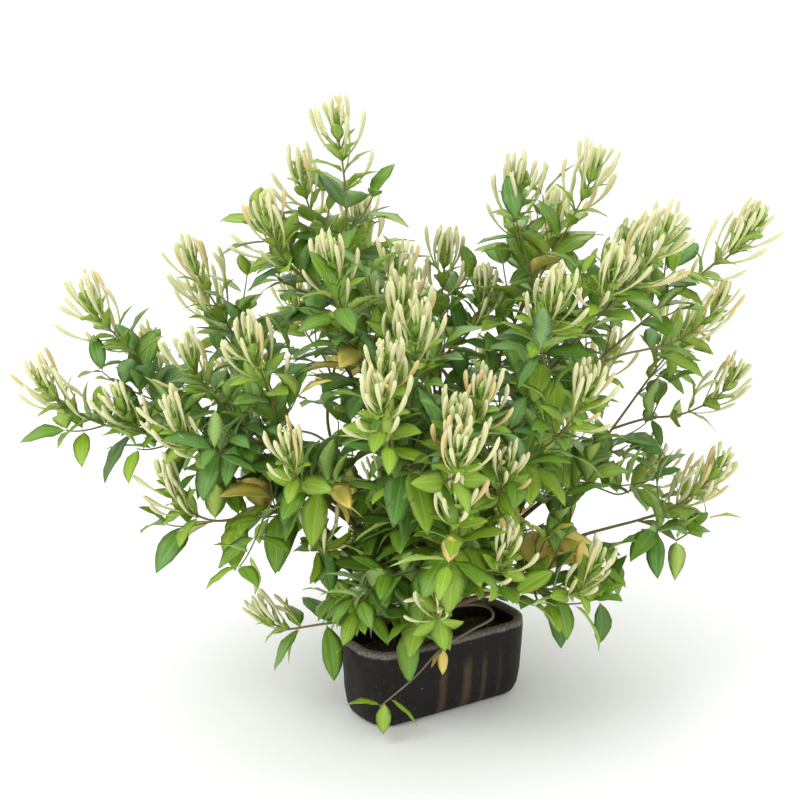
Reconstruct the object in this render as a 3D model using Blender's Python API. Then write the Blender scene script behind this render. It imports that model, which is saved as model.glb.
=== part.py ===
"""Potted honeysuckle: a low trough pot of soil, a short trunk, boughs, and leafy masses with flower buds.

Lengths are in metres and angles in degrees. +Z is up, the front of the shrub looks along -Y, and the
origin is the centre of the pot's flat underside.
"""

import math
import random

import bmesh
import bpy
from mathutils import Matrix, Vector
from mathutils.bvhtree import BVHTree
from mathutils.kdtree import KDTree

# Every part stands this far clear of the part it rests on or grows from.
CLEAR = 0.0003

# Pot: a rounded trough, turned so that its right end is farther away.
POT_TURN = 33.0
POT_LENGTH = 0.180
POT_WIDTH = 0.082
POT_HEIGHT = 0.076
POT_CORNER = 0.032
POT_WALL = 0.0085
CORNER_STEPS = 4
# How far the outside stands in from the full size at each height, from the foot to the rim.
POT_OUTSIDE = (
    (0.000, 0.0125),
    (0.003, 0.0080),
    (0.010, 0.0046),
    (0.024, 0.0024),
    (0.048, 0.0009),
    (0.067, 0.0000),
)
# How much farther in than the wall's thickness the inside stands, from the floor to the rim.
POT_INSIDE = (
    (0.010, 0.0110),
    (0.014, 0.0070),
    (0.028, 0.0026),
    (0.073, 0.0000),
)
RIM_ROUND = 0.0030
RIM_BEVEL = 0.0009

# Soil: fills the pot to a level top with a slight sink along the walls.
SOIL_TOP = 0.062
SOIL_SINK = 0.004
SOIL_LUMP = 0.0011
SOIL_EDGE = 0.002
# Rings of the soil's top: how far in from the wall, and the share of the sink there.
SOIL_RINGS = (
    (0.0020, 1.0),
    (0.0082, 0.4),
    (0.0152, 0.0),
)

# Trunk: a short stem with root flare, cut flat at the soil and forking above the rim.
TRUNK_FOOT = Vector((-0.0165, 0.000, SOIL_TOP + CLEAR))
TRUNK_HEAD = Vector((-0.0225, -0.002, 0.134))
TRUNK_SIDES = 12
# Share of the trunk's height, and the radius there.
TRUNK_TAPER = (
    (0.00, 0.0165),
    (0.04, 0.0135),
    (0.12, 0.0108),
    (0.25, 0.0094),
    (0.45, 0.0086),
    (0.70, 0.0084),
    (0.88, 0.0082),
    (0.96, 0.0062),
    (1.00, 0.0028),
)
ROOT_LOBES = 5
ROOT_LOBE_DEPTH = 0.16
ROOT_LOBE_HEIGHT = 0.16

# Boughs: slender limbs from the trunk's sides and head to the hubs of the masses.
BOUGH_FOOT_RADIUS = 0.0030
BOUGH_TIP_RADIUS = 0.0019
BOUGH_SIDES = 5
BOUGH_STEPS = 4
BOUGH_LOWEST = 0.30
BOUGH_CLEAR = 0.0012
# A limb is near its parent over this first stretch, so its gap is measured beyond it.
ROOT_FREE = 0.009

# Twigs: three-sided, thinner towards the bud clusters.
TWIG_FOOT_RADIUS = 0.0018
SIDE_TWIG_RADIUS = 0.0014
TWIG_TIP_RADIUS = 0.0010
TWIG_STEPS = 3
TWIG_STEP_LENGTH = 0.031
TWIG_CLEAR = 0.0030
LIMB_GAP = 0.0016
FORK_ANGLE = 46.0
LONGEST_FORK = 0.88
CURVE_PULL = 0.33

# Leaves: opposite pairs, each pair turned a quarter from the last, smaller near the buds.
LEAF_LENGTHS = (0.048, 0.062, 0.070, 0.070)
LEAF_WIDTH_SHARE = 0.56
LEAF_THICK = 0.0020
LEAF_ROOT_SUNK = 0.0001
LEAF_PAIR_STEP = 0.027
LEAF_ARCH = 0.07
LEAF_DROOP = 0.10
LEAF_PAIRS = 3
LEAD_PAIRS = 6
LEAF_FORWARD = 0.36
LEAF_LIFTS = (0.50, 0.22, 0.02, -0.10, -0.20)
LEAF_ROLL = 16.0
LEAF_WAVER = 14.0
LEAF_WIDEST = 0.44
LEAF_FIRST = 0.004
LEAF_LAST = 0.012
# Shares of its full length and turns that a leaf may take to fit among its neighbours.
LEAF_TRIES = ((1.0, 0.0), (0.9, 14.0), (0.9, -14.0), (0.76, 0.0), (0.64, 20.0), (0.54, -20.0))
# Two leaves of a pair share their twig, so crossings are looked for from this far out.
LEAF_FREE_FROM = 0.0035

# Flower buds: slim clubs in a whorl at each shoot's tip, opening outwards.
BUD_LENGTH = 0.046
BUD_CLUB_RADIUS = 0.0038
BUD_SPREAD = 33.0
CORE_SIDES = 4
CORE_HEIGHT = 0.009
CORE_RADIUS = 0.0034
CORE_RINGS = ((0.0, 0.6), (0.45, 1.0), (1.0, 0.55))
TIP_IN_CORE = 0.0036

# Outer shoots lean outwards by this much at the crown's full half width.
OUTER_LEAN = 54.0
CROWN_HALF_WIDTH = 0.33
LEAF_SHOOT_LEAN = 112.0

# Space kept free between two masses, and round limbs, pot and floor.
SPACE_MARGIN = 0.0016
LIMB_MARGIN = 0.0010
FLOOR_MARGIN = 0.004
SEED = 41

# Each mass: where its hub lies from the trunk's head, as heading, rise and reach, then its shoots,
# each as heading, rise and reach from the hub to the foot of its bud cluster, and what it bears.
MASSES = {
    "top_left": ((149, 72, 0.153), (
        (-167, 85, 0.229, "bud"),
        (146, 71, 0.193, "bud"),
        (-162, 62, 0.171, "bud"),
        (93, 60, 0.154, "bud"),
    )),
    "front_upper": ((-124, 75, 0.138), (
        (-129, 65, 0.156, "bud"),
        (-73, 76, 0.134, "bud"),
        (-81, 54, 0.138, "bud"),
    )),
    "back_upper": ((64, 63, 0.134), (
        (80, 79, 0.135, "bud"),
        (-7, 71, 0.111, "bud"),
        (103, 37, 0.135, "bud"),
    )),
    "top_right": ((31, 61, 0.169), (
        (19, 82, 0.176, "bud"),
        (-8, 66, 0.206, "bud"),
        (52, 54, 0.169, "bud"),
    )),
    "right_upper": ((-12, 57, 0.162), (
        (41, 44, 0.188, "bud"),
        (-6, 54, 0.178, "bud"),
        (-20, 53, 0.206, "bud"),
        (-40, 54, 0.163, "bud"),
        (-70, 55, 0.134, "bud"),
    )),
    "far_right": ((10, 47, 0.200), (
        (-1, 44, 0.216, "bud"),
        (-1, 43, 0.199, "bud"),
        (25, 22, 0.170, "bud"),
    )),
    "right_middle": ((19, 22, 0.158), (
        (12, 27, 0.173, "bud"),
        (35, -8, 0.109, "bud"),
        (38, 37, 0.189, "bud"),
    )),
    "right_low": ((5, 5, 0.130), (
        (-5, 25, 0.151, "bud"),
        (12, 16, 0.144, "bud"),
        (-15, 10, 0.120, "leaf"),
        (-18, 63, 0.083, "leaf"),
    )),
    "front_right": ((-39, 46, 0.123), (
        (-43, 43, 0.132, "bud"),
        (-85, 20, 0.092, "bud"),
    )),
    "front_middle": ((-85, 48, 0.116), (
        (-93, 67, 0.158, "bud"),
        (-105, 52, 0.156, "bud"),
        (-78, 37, 0.145, "bud"),
        (-58, 47, 0.126, "bud"),
        (-103, 40, 0.165, "bud"),
        (-79, 26, 0.162, "bud"),
    )),
    "front_low": ((-63, 21, 0.084), (
        (-90, 32, 0.141, "bud"),
        (-64, 14, 0.092, "bud"),
        (-102, -26, 0.068, "bud"),
        (-180, -7, 0.073, "leaf"),
        (-148, 41, 0.076, "leaf"),
    )),
    "right_skirt": ((-26, -1, 0.105), (
        (-46, 13, 0.078, "bud"),
        (-3, -9, 0.078, "leaf"),
        (-59, -6, 0.040, "leaf"),
        (9, 56, 0.073, "leaf"),
    )),
    "left_upper": ((159, 45, 0.141), (
        (171, 58, 0.179, "bud"),
        (145, 44, 0.157, "bud"),
        (170, 26, 0.154, "bud"),
    )),
    "far_left": ((180, 38, 0.168), (
        (-180, 42, 0.182, "bud"),
        (-167, 19, 0.183, "bud"),
        (-154, 20, 0.123, "bud"),
    )),
    "left_middle": ((-145, 45, 0.133), (
        (178, 42, 0.137, "bud"),
        (-136, 60, 0.132, "bud"),
        (-157, 24, 0.130, "bud"),
        (-100, 23, 0.106, "bud"),
        (-174, 25, 0.091, "leaf"),
    )),
    "left_low": ((-157, 31, 0.118), (
        (-158, 11, 0.112, "bud"),
        (-59, -34, 0.043, "bud"),
        (-120, 15, 0.072, "leaf"),
        (146, 62, 0.037, "leaf"),
        (-180, 30, 0.075, "leaf"),
    )),
    "back_left": ((124, 31, 0.152), (
        (112, 48, 0.149, "bud"),
        (81, 61, 0.195, "bud"),
        (139, 9, 0.142, "bud"),
    )),
    "back_middle": ((84, 23, 0.131), (
        (90, 37, 0.174, "bud"),
        (69, 15, 0.188, "bud"),
        (102, -2, 0.184, "bud"),
    )),
    "back_right": ((54, 23, 0.161), (
        (69, 45, 0.151, "bud"),
        (37, 27, 0.151, "bud"),
        (63, -12, 0.172, "bud"),
    )),
    "back_low": ((76, 2, 0.097), (
        (81, 1, 0.137, "bud"),
        (114, -3, 0.116, "bud"),
        (52, -5, 0.135, "bud"),
    )),
}

# Trailing shoots: they grow straight from the trunk. Heading and height share of the start, then the
# steps of the path as heading, rise and length, what the tip bears and how the tip points.
TRAILS = {
    "trailing_left": {
        "start": (-150, 0.30),
        "steps": ((-150, 16, 0.026), (-155, 3, 0.030), (-168, -2, 0.028), (180, -10, 0.030)),
        "bears": "bud",
        "tip": (178, 14),
        "leaves": (
            (0.008, -150, -52, 0.052),
            (0.008, 110, 14, 0.040),
            (0.036, -60, -30, 0.046),
            (0.036, 130, 20, 0.048),
            (0.064, -110, 20, 0.046),
            (0.064, 60, 10, 0.050),
        ),
    },
    "trailing_front": {
        "start": (10, 0.32),
        "steps": (
            (16, 10, 0.032),
            (4, -2, 0.026),
            (-72, -12, 0.020),
            (-128, -2, 0.036),
            (-143, -16, 0.036),
            (-147, -36, 0.034),
            (-148, -28, 0.042),
        ),
        "bears": "leaf",
        "tip": (-150, -30),
        "leaves": (
            (0.004, -178, -2, 0.034),
            (0.004, -110, -55, 0.028),
            (0.014, -35, -40, 0.030),
            (0.058, -120, -58, 0.034),
            (0.060, -160, -50, 0.028),
        ),
    },
}


def heading_vector(heading, rise):
    """Unit vector at a heading round the plant and a rise above the level."""
    turn = math.radians(heading)
    lift = math.radians(rise)
    return Vector((math.cos(lift) * math.cos(turn), math.cos(lift) * math.sin(turn), math.sin(lift)))


def side_of(direction):
    """Level vector square to a direction."""
    side = direction.cross(Vector((0.0, 0.0, 1.0)))
    if side.length < 0.05:
        side = Vector((1.0, 0.0, 0.0))
    return side.normalized()


def cubic(first, second, third, last, count):
    """Points along a cubic curve from first to last, drawn towards the two between."""
    points = []
    for index in range(count + 1):
        t = index / count
        s = 1.0 - t
        points.append(
            first * s * s * s + second * 3.0 * s * s * t + third * 3.0 * s * t * t + last * t * t * t
        )
    return points


def smooth_path(knots, steps):
    """A rounded path through its knots."""
    path = []
    for index in range(len(knots) - 1):
        before = knots[max(index - 1, 0)]
        start = knots[index]
        end = knots[index + 1]
        after = knots[min(index + 2, len(knots) - 1)]
        near = start + (end - before) / 6.0
        far = end - (after - start) / 6.0
        path.extend(cubic(start, near, far, end, steps)[:-1])
    path.append(knots[-1])
    return path


def along(path, distance):
    """Point and direction at a distance from the path's start."""
    walked = 0.0
    for start, end in zip(path, path[1:]):
        length = (end - start).length
        if walked + length >= distance:
            return start.lerp(end, (distance - walked) / length), (end - start).normalized()
        walked += length
    return path[-1].copy(), (path[-1] - path[-2]).normalized()


def path_length(path):
    """Length of a path along its points."""
    return sum((end - start).length for start, end in zip(path, path[1:]))


def resample(path, count):
    """The path again with evenly spaced points."""
    total = path_length(path)
    return [along(path, total * index / count)[0] for index in range(count)] + [path[-1].copy()]


def fine_points(path, step):
    """Points about one step apart along the path."""
    return resample(path, max(2, round(path_length(path) / step)))


def make_object(name, mesh, colour, roughness):
    """A named object with its own material."""
    made = bpy.data.objects.new(name, mesh)
    bpy.context.scene.collection.objects.link(made)
    material = bpy.data.materials.new(name)
    material.use_nodes = True
    shader = material.node_tree.nodes["Principled BSDF"]
    shader.inputs["Base Color"].default_value = (*colour, 1.0)
    shader.inputs["Roughness"].default_value = roughness
    made.data.materials.append(material)
    return made


def mesh_from(name, points, faces, smooth):
    """A closed mesh whose faces all look outwards."""
    form = bmesh.new()
    corners = [form.verts.new(point) for point in points]
    for face in faces:
        form.faces.new([corners[index] for index in face])
    bmesh.ops.triangulate(form, faces=form.faces)
    bmesh.ops.recalc_face_normals(form, faces=form.faces)
    for face in form.faces:
        face.smooth = smooth
    mesh = bpy.data.meshes.new(name)
    form.to_mesh(mesh)
    form.free()
    return mesh


def stack_faces(rings, sides):
    """Faces of a stack of rings, closed at both ends."""
    faces = []
    for ring in range(rings - 1):
        for side in range(sides):
            after = (side + 1) % sides
            faces.append(
                (
                    ring * sides + side,
                    ring * sides + after,
                    (ring + 1) * sides + after,
                    (ring + 1) * sides + side,
                )
            )
    faces.append(tuple(reversed(range(sides))))
    faces.append(tuple((rings - 1) * sides + side for side in range(sides)))
    return faces


def trough_ring(inset, height):
    """One level outline of the pot, a rounded rectangle set in from the full size."""
    half_length = POT_LENGTH / 2 - inset
    half_width = POT_WIDTH / 2 - inset
    corner = max(POT_CORNER - inset, 0.004)
    turn = Matrix.Rotation(math.radians(POT_TURN), 3, "Z")
    points = []
    for quarter, (across, back) in enumerate(((1, 1), (-1, 1), (-1, -1), (1, -1))):
        centre = Vector((across * (half_length - corner), back * (half_width - corner), height))
        for step in range(CORNER_STEPS + 1):
            angle = math.radians(90.0 * (quarter + step / CORNER_STEPS))
            reach = Vector((math.cos(angle), math.sin(angle), 0.0)) * corner
            points.append(turn @ (centre + reach))
    return points


def pot():
    """Trough pot with a rounded foot, a slight taper and a rounded rim."""
    levels = [(inset, height) for height, inset in POT_OUTSIDE]
    levels.append((RIM_BEVEL, POT_HEIGHT - RIM_BEVEL))
    levels.append((RIM_ROUND, POT_HEIGHT))
    levels.append((POT_WALL - RIM_ROUND, POT_HEIGHT))
    levels.append((POT_WALL - RIM_BEVEL, POT_HEIGHT - RIM_BEVEL))
    for height, inset in reversed(POT_INSIDE):
        levels.append((POT_WALL + inset, height))
    points = []
    for inset, height in levels:
        points.extend(trough_ring(inset, height))
    sides = 4 * (CORNER_STEPS + 1)
    mesh = mesh_from("pot", points, stack_faces(len(levels), sides), True)
    return make_object("pot", mesh, (0.045, 0.038, 0.034), 0.75)


def inside_inset(height):
    """How far the pot's inside stands in from its full size at a height."""
    for (low, low_inset), (high, high_inset) in zip(POT_INSIDE, POT_INSIDE[1:]):
        if height <= high:
            share = (height - low) / (high - low)
            return POT_WALL + low_inset + (high_inset - low_inset) * share
    return POT_WALL


def soil():
    """Soil that follows the pot's inside, level round the trunk and lower along the walls."""
    draw = random.Random(SEED)
    slack = CLEAR * 1.5
    edge = SOIL_TOP - SOIL_SINK - SOIL_EDGE
    levels = [(POT_WALL + inset + slack, height + slack, 0.0) for height, inset in POT_INSIDE[:-1]]
    levels.append((inside_inset(edge) + slack, edge, 0.0))
    for inset, sink in SOIL_RINGS:
        levels.append((inside_inset(SOIL_TOP) + inset, SOIL_TOP - SOIL_SINK * sink, SOIL_LUMP * sink))
    points = []
    for inset, height, lump in levels:
        for point in trough_ring(inset, height):
            points.append(point + Vector((0.0, 0.0, draw.uniform(-1.0, 0.4) * lump)))
    sides = 4 * (CORNER_STEPS + 1)
    mesh = mesh_from("soil", points, stack_faces(len(levels), sides), False)
    return make_object("soil", mesh, (0.075, 0.045, 0.030), 0.95)


def trunk_centre(share):
    """Middle of the trunk at a share of its height, with a slight bow."""
    bow = Vector((0.0016, -0.0022, 0.0)) * math.sin(math.pi * share)
    return TRUNK_FOOT.lerp(TRUNK_HEAD, share) + bow


def trunk_radius(share):
    """Radius of the trunk at a share of its height."""
    for (low, low_radius), (high, high_radius) in zip(TRUNK_TAPER, TRUNK_TAPER[1:]):
        if share <= high:
            return low_radius + (high_radius - low_radius) * (share - low) / (high - low)
    return TRUNK_TAPER[-1][1]


def trunk():
    """Trunk from a flat cut at the soil, flared over its roots, to a blunt fork."""
    points = []
    for share, radius in TRUNK_TAPER:
        centre = trunk_centre(share)
        flare = max(0.0, 1.0 - share / ROOT_LOBE_HEIGHT)
        for side in range(TRUNK_SIDES):
            angle = 2.0 * math.pi * side / TRUNK_SIDES
            lobe = 1.0 + ROOT_LOBE_DEPTH * flare * math.cos(ROOT_LOBES * angle + 0.6)
            reach = Vector((math.cos(angle), math.sin(angle), 0.0)) * radius * lobe
            points.append(centre + reach)
    mesh = mesh_from("trunk", points, stack_faces(len(TRUNK_TAPER), TRUNK_SIDES), True)
    return make_object("trunk", mesh, (0.20, 0.13, 0.085), 0.85)


def limb_start(heading, share, radius):
    """Where a limb's foot stands clear of the trunk's side, and the way it faces there."""
    out = heading_vector(heading, 0.0)
    height_span = TRUNK_HEAD.z - TRUNK_FOOT.z
    low = max(0.0, share - 1.6 * radius / height_span)
    widest = max(trunk_radius(low), trunk_radius(share), trunk_radius(min(1.0, share + 0.05)))
    return trunk_centre(share) + out * (widest + CLEAR), out


def tube(path, radii, sides, first_facing=None):
    """Corner points and faces of a tapering tube that is closed at both ends."""
    points = []
    across = side_of((path[1] - path[0]).normalized())
    for index, centre in enumerate(path):
        ahead = path[min(index + 1, len(path) - 1)] - path[max(index - 1, 0)]
        ahead.normalize()
        if index == 0 and first_facing is not None:
            ahead = first_facing
        across = (across - ahead * across.dot(ahead)).normalized()
        up = ahead.cross(across)
        for side in range(sides):
            angle = 2.0 * math.pi * side / sides
            points.append(centre + (across * math.cos(angle) + up * math.sin(angle)) * radii[index])
    return points, stack_faces(len(path), sides)


class Reach:
    """Points along limbs or twigs, to measure how close anything else comes."""

    def __init__(self):
        self.points = []
        self.radii = []
        self.owners = []
        self.tree = None

    def add(self, path, radii, owner):
        fine = fine_points(path, 0.003)
        for index, point in enumerate(fine):
            share = index / (len(fine) - 1)
            self.points.append(point)
            self.radii.append(radii[0] + (radii[1] - radii[0]) * share)
            self.owners.append(owner)
        self.tree = None

    def ready(self):
        if self.tree is None:
            self.tree = KDTree(max(1, len(self.points)))
            for index, point in enumerate(self.points):
                self.tree.insert(point, index)
            self.tree.balance()
        return self.tree

    def near(self, centre, distance, but_not):
        """Points within a distance that some other part owns."""
        found = []
        for point, index, _ in self.ready().find_range(centre, distance):
            if self.owners[index] not in but_not:
                found.append((point, self.radii[index]))
        return found


def path_is_clear(path, radius, reach, gap, but_not, skip_start):
    """True where the path keeps its gap from all that is in reach."""
    walked = 0.0
    fine = fine_points(path, 0.003)
    for index, point in enumerate(fine):
        if index:
            walked += (point - fine[index - 1]).length
        if walked < skip_start:
            continue
        for other, other_radius in reach.near(point, radius + gap + 0.012, but_not):
            if (point - other).length < radius + other_radius + gap:
                return False
    return True


def bough_path(name, hub, heading, share, draw, wander):
    """A limb's path from the trunk's side to its hub."""
    start, out = limb_start(heading, share, BOUGH_FOOT_RADIUS)
    length = (hub - start).length
    rise = math.degrees(math.asin((hub.z - start.z) / length))
    leave = heading_vector(heading, 22.0 + 0.5 * rise)
    arrive = mass_direction(name, hub).lerp((hub - start).normalized(), 0.45).normalized()
    bend = Vector([draw.uniform(-1.0, 1.0) * wander for _ in range(3)])
    path = cubic(start, start + leave * length * 0.30 + bend, hub - arrive * length * 0.32 + bend, hub, 24)
    return path, out


def hub_place(name):
    """Where a mass's bough ends and its twigs begin."""
    heading, rise, reach = MASSES[name][0]
    return TRUNK_HEAD + heading_vector(heading, rise) * reach


def shoot_foot(name, number):
    """Where one shoot's bud cluster stands."""
    heading, rise, reach, _ = MASSES[name][1][number]
    return hub_place(name) + heading_vector(heading, rise) * reach


def mass_direction(name, hub):
    """Mean direction of a mass's shoots from its hub."""
    total = Vector((0.0, 0.0, 0.0))
    for number in range(len(MASSES[name][1])):
        total += (shoot_foot(name, number) - hub).normalized()
    total += Vector((0.0, 0.0, 0.35))
    return total.normalized()


def cluster_axis(foot, bears):
    """Way a shoot's tip points: upright in the middle of the crown and outwards at its edge."""
    outward = Vector((foot.x - TRUNK_HEAD.x, foot.y - TRUNK_HEAD.y, 0.0))
    lean = OUTER_LEAN * min(1.2, outward.length / CROWN_HALF_WIDTH)
    if bears == "leaf":
        lean = LEAF_SHOOT_LEAN
    heading = math.degrees(math.atan2(outward.y, outward.x))
    return heading_vector(heading, 90.0 - lean)


def grow_boughs(limbs, twigs):
    """All boughs, low ones first, each led clear of those before it and of the trailing shoots."""
    names = sorted(MASSES, key=lambda name: hub_place(name).z)
    boughs = {}
    for rank, name in enumerate(names):
        hub = hub_place(name)
        level = rank / (len(names) - 1)
        heading = MASSES[name][0][0]
        draw = random.Random(SEED + 7 * rank)
        best = None
        for attempt in range(500):
            spread = 0.6 * attempt
            turn = heading + draw.uniform(-1.0, 1.0) * min(spread, 75.0)
            share = BOUGH_LOWEST + (0.94 - BOUGH_LOWEST) * level
            share += draw.uniform(-1.0, 1.0) * min(0.002 * attempt, 0.22)
            share = min(0.94, max(BOUGH_LOWEST, share))
            wander = min(0.0004 * attempt, 0.03)
            path, out = bough_path(name, hub, turn, share, draw, wander)
            path = resample(path, BOUGH_STEPS)
            if not path_is_clear(path, BOUGH_FOOT_RADIUS, limbs["boughs"], BOUGH_CLEAR, (), 0.0):
                continue
            if not path_is_clear(path, BOUGH_FOOT_RADIUS, limbs["trunk"], BOUGH_CLEAR, (), ROOT_FREE):
                continue
            if not path_is_clear(path, BOUGH_FOOT_RADIUS, twigs, BOUGH_CLEAR, (), 0.0):
                continue
            best = (path, out)
            break
        if best is None:
            raise RuntimeError("no clear way for the bough of " + name)
        path, out = best
        limbs["boughs"].add(path, (BOUGH_FOOT_RADIUS, BOUGH_TIP_RADIUS), name)
        boughs[name] = (path, out)
    return boughs


def make_bough(name, path, out):
    """One tapering limb, its foot against the trunk's side."""
    radii = []
    for index in range(len(path)):
        share = index / (len(path) - 1)
        radii.append(BOUGH_FOOT_RADIUS + (BOUGH_TIP_RADIUS - BOUGH_FOOT_RADIUS) * share)
    points, faces = tube(path, radii, BOUGH_SIDES, out)
    mesh = mesh_from("bough_" + name, points, faces, True)
    return make_object("bough_" + name, mesh, (0.23, 0.15, 0.095), 0.8)


def twig_is_clear(path, radius, name, limbs, twigs):
    """True where a twig keeps clear of limbs, of other masses' twigs and of the pot."""
    if not path_is_clear(path, radius, limbs["boughs"], LIMB_GAP, (), ROOT_FREE * 0.7):
        return False
    if not path_is_clear(path, radius, limbs["trunk"], LIMB_GAP, (), ROOT_FREE):
        return False
    if not path_is_clear(path, radius, twigs, TWIG_CLEAR, (name,), 0.0):
        return False
    return all(not in_pot(point, 0.003) for point in fine_points(path, 0.004))


def in_pot(point, margin):
    """True for a point inside the pot's block or below the floor's margin."""
    if point.z < FLOOR_MARGIN:
        return True
    if point.z > POT_HEIGHT + margin:
        return False
    turn = math.radians(-POT_TURN)
    across = point.x * math.cos(turn) - point.y * math.sin(turn)
    back = point.x * math.sin(turn) + point.y * math.cos(turn)
    return abs(across) < POT_LENGTH / 2 + margin and abs(back) < POT_WIDTH / 2 + margin


def fork_place(leader, foot, slip):
    """Where a side twig leaves its leader: the last place from which it turns off gently."""
    total = path_length(leader)
    step = 0.004
    chosen = step
    distance = step
    while distance < LONGEST_FORK * total:
        place, way = along(leader, distance)
        if way.angle(foot - place) < math.radians(FORK_ANGLE):
            chosen = distance
        distance += step
    return along(leader, min(LONGEST_FORK * total, max(step, chosen + slip)))


def grow_mass_twigs(name, bough, limbs, twigs):
    """The twigs of one mass: the longest shoot leads, and the others fork from it."""
    hub = hub_place(name)
    arrive = (bough[-1] - bough[-2]).normalized()
    start = hub + arrive * CLEAR
    order = sorted(range(len(MASSES[name][1])), key=lambda number: -MASSES[name][1][number][2])
    shoots = []
    leader = None
    for number in order:
        foot = shoot_foot(name, number)
        bears = MASSES[name][1][number][3]
        axis = cluster_axis(foot, bears)
        draw = random.Random(SEED + 1009 * number + sum(ord(letter) for letter in name))
        for attempt in range(160):
            bend = Vector([draw.uniform(-1.0, 1.0) * 0.0003 * attempt for _ in range(3)])
            if leader is None:
                begin = start
                leave = arrive
                radius = TWIG_FOOT_RADIUS
            else:
                slip = draw.uniform(-1.0, 1.0) * min(0.02, 0.0006 * attempt)
                begin, lead_way = fork_place(leader, foot, slip)
                leave = (lead_way * 0.6 + (foot - begin).normalized() * 0.6).normalized()
                radius = SIDE_TWIG_RADIUS
            length = (foot - begin).length
            pull = length * CURVE_PULL
            path = cubic(begin, begin + leave * pull + bend, foot - axis * pull + bend, foot, 16)
            if twig_is_clear(path, radius, name, limbs, twigs):
                break
        else:
            raise RuntimeError("no clear way for a twig of " + name)
        path = resample(path, max(TWIG_STEPS, round(path_length(path) / TWIG_STEP_LENGTH)))
        path.append(foot + axis * TIP_IN_CORE)
        shoot = {
            "path": path,
            "radius": radius,
            "bears": bears,
            "axis": axis,
            "foot": foot,
            "lead": leader is None,
            "facing": arrive if leader is None else None,
        }
        if leader is None:
            leader = path
        shoots.append(shoot)
        twigs.add(path, (radius, TWIG_TIP_RADIUS), name)
    return shoots


def grow_trail(name, twigs):
    """A shoot that trails from the trunk by its own steps."""
    plan = TRAILS[name]
    start, out = limb_start(plan["start"][0], plan["start"][1], TWIG_FOOT_RADIUS)
    knots = [start]
    for heading, rise, length in plan["steps"]:
        knots.append(knots[-1] + heading_vector(heading, rise) * length)
    axis = heading_vector(*plan["tip"])
    path = smooth_path(knots, 4)
    foot = path[-1].copy()
    path.append(foot + axis * TIP_IN_CORE)
    shoot = {
        "path": path,
        "radius": TWIG_FOOT_RADIUS,
        "bears": plan["bears"],
        "axis": axis,
        "foot": foot,
        "lead": True,
        "facing": out,
        "leaves": plan["leaves"],
    }
    twigs.add(path, (TWIG_FOOT_RADIUS, TWIG_TIP_RADIUS), name)
    return [shoot]


def leaf_frame(direction, roll):
    """Side and upper face of a leaf that lies as level as its direction lets it."""
    side = side_of(direction)
    upper = side.cross(direction).normalized()
    if upper.z < 0.0:
        upper.negate()
        side.negate()
    turned = Matrix.Rotation(roll, 3, direction)
    return turned @ side, turned @ upper


def leaf_plan(root, direction, length, roll):
    """Places on a leaf: its root, its widest part, its tip, and its frame."""
    side, upper = leaf_frame(direction, roll)
    middle = root + direction * length * LEAF_WIDEST + upper * length * LEAF_ARCH
    tip = root + direction * length * 0.98 - upper * length * LEAF_DROOP
    return {
        "root": root,
        "middle": middle,
        "tip": tip,
        "side": side,
        "upper": upper,
        "direction": direction,
        "length": length,
        "half": length * LEAF_WIDTH_SHARE / 2,
    }


def leaf_samples(leaf):
    """Points all over a leaf."""
    samples = []
    for share in (0.3, 0.65, 1.0):
        centre = leaf["root"].lerp(leaf["middle"], share)
        for across in (-1.0, 0.0, 1.0):
            samples.append(centre + leaf["side"] * leaf["half"] * share * across)
    for share in (0.3, 0.6, 0.82):
        centre = leaf["middle"].lerp(leaf["tip"], share)
        for across in (-1.0, 0.0, 1.0):
            samples.append(centre + leaf["side"] * leaf["half"] * (1.0 - share) * across)
    samples.append(leaf["tip"])
    return samples


def pierced(leaf, reach, but_not):
    """True where a limb or twig passes through or close by the leaf."""
    centre = leaf["middle"]
    for point, radius in reach.near(centre, leaf["length"] * 0.75, but_not):
        offset = point - leaf["root"]
        forward = offset.dot(leaf["direction"])
        share = forward / leaf["length"]
        if share < -0.05 or share > 1.06:
            continue
        breadth = leaf["half"] * (1.0 - abs(share - LEAF_WIDEST) / 0.58)
        if abs(offset.dot(leaf["side"])) > max(breadth, 0.0) + radius + LIMB_MARGIN:
            continue
        if share < LEAF_WIDEST:
            height = LEAF_ARCH * share / LEAF_WIDEST
        else:
            height = LEAF_ARCH - (LEAF_ARCH + LEAF_DROOP) * (share - LEAF_WIDEST) / 0.54
        if abs(offset.dot(leaf["upper"]) - height * leaf["length"]) < radius + LEAF_THICK + LIMB_MARGIN:
            return True
    return False


def in_own_space(samples, name, spaces):
    """True where every point is nearer to its own mass's twigs than to any other's."""
    own, others = spaces[name]
    for point in samples:
        if in_pot(point, 0.0030):
            return False
        near_own = own.find(point)[2]
        near_other = others.find(point)[2]
        if near_own + SPACE_MARGIN > near_other:
            return False
    return True


def clear_of_limbs(samples, limbs):
    """True where every point is off the trunk and the boughs."""
    for point in samples:
        for reach in limbs.values():
            for other, radius in reach.near(point, 0.022, ()):
                if (point - other).length < radius + LIMB_MARGIN + LEAF_THICK:
                    return False
    return True


def leaf_solid(leaf, root_forward=0.0):
    """A thin leaf of six faces, ridged along its rib, with its root sunk in the twig."""
    edge = leaf["middle"] - leaf["upper"] * LEAF_THICK * 0.4
    points = [
        leaf["root"] + leaf["direction"] * (root_forward - LEAF_ROOT_SUNK),
        edge + leaf["side"] * leaf["half"],
        edge - leaf["side"] * leaf["half"],
        leaf["tip"],
        leaf["middle"] + leaf["upper"] * LEAF_THICK * 0.6,
    ]
    faces = [(0, 1, 4), (0, 4, 2), (0, 2, 1), (3, 4, 1), (3, 2, 4), (3, 1, 2)]
    return points, faces


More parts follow.
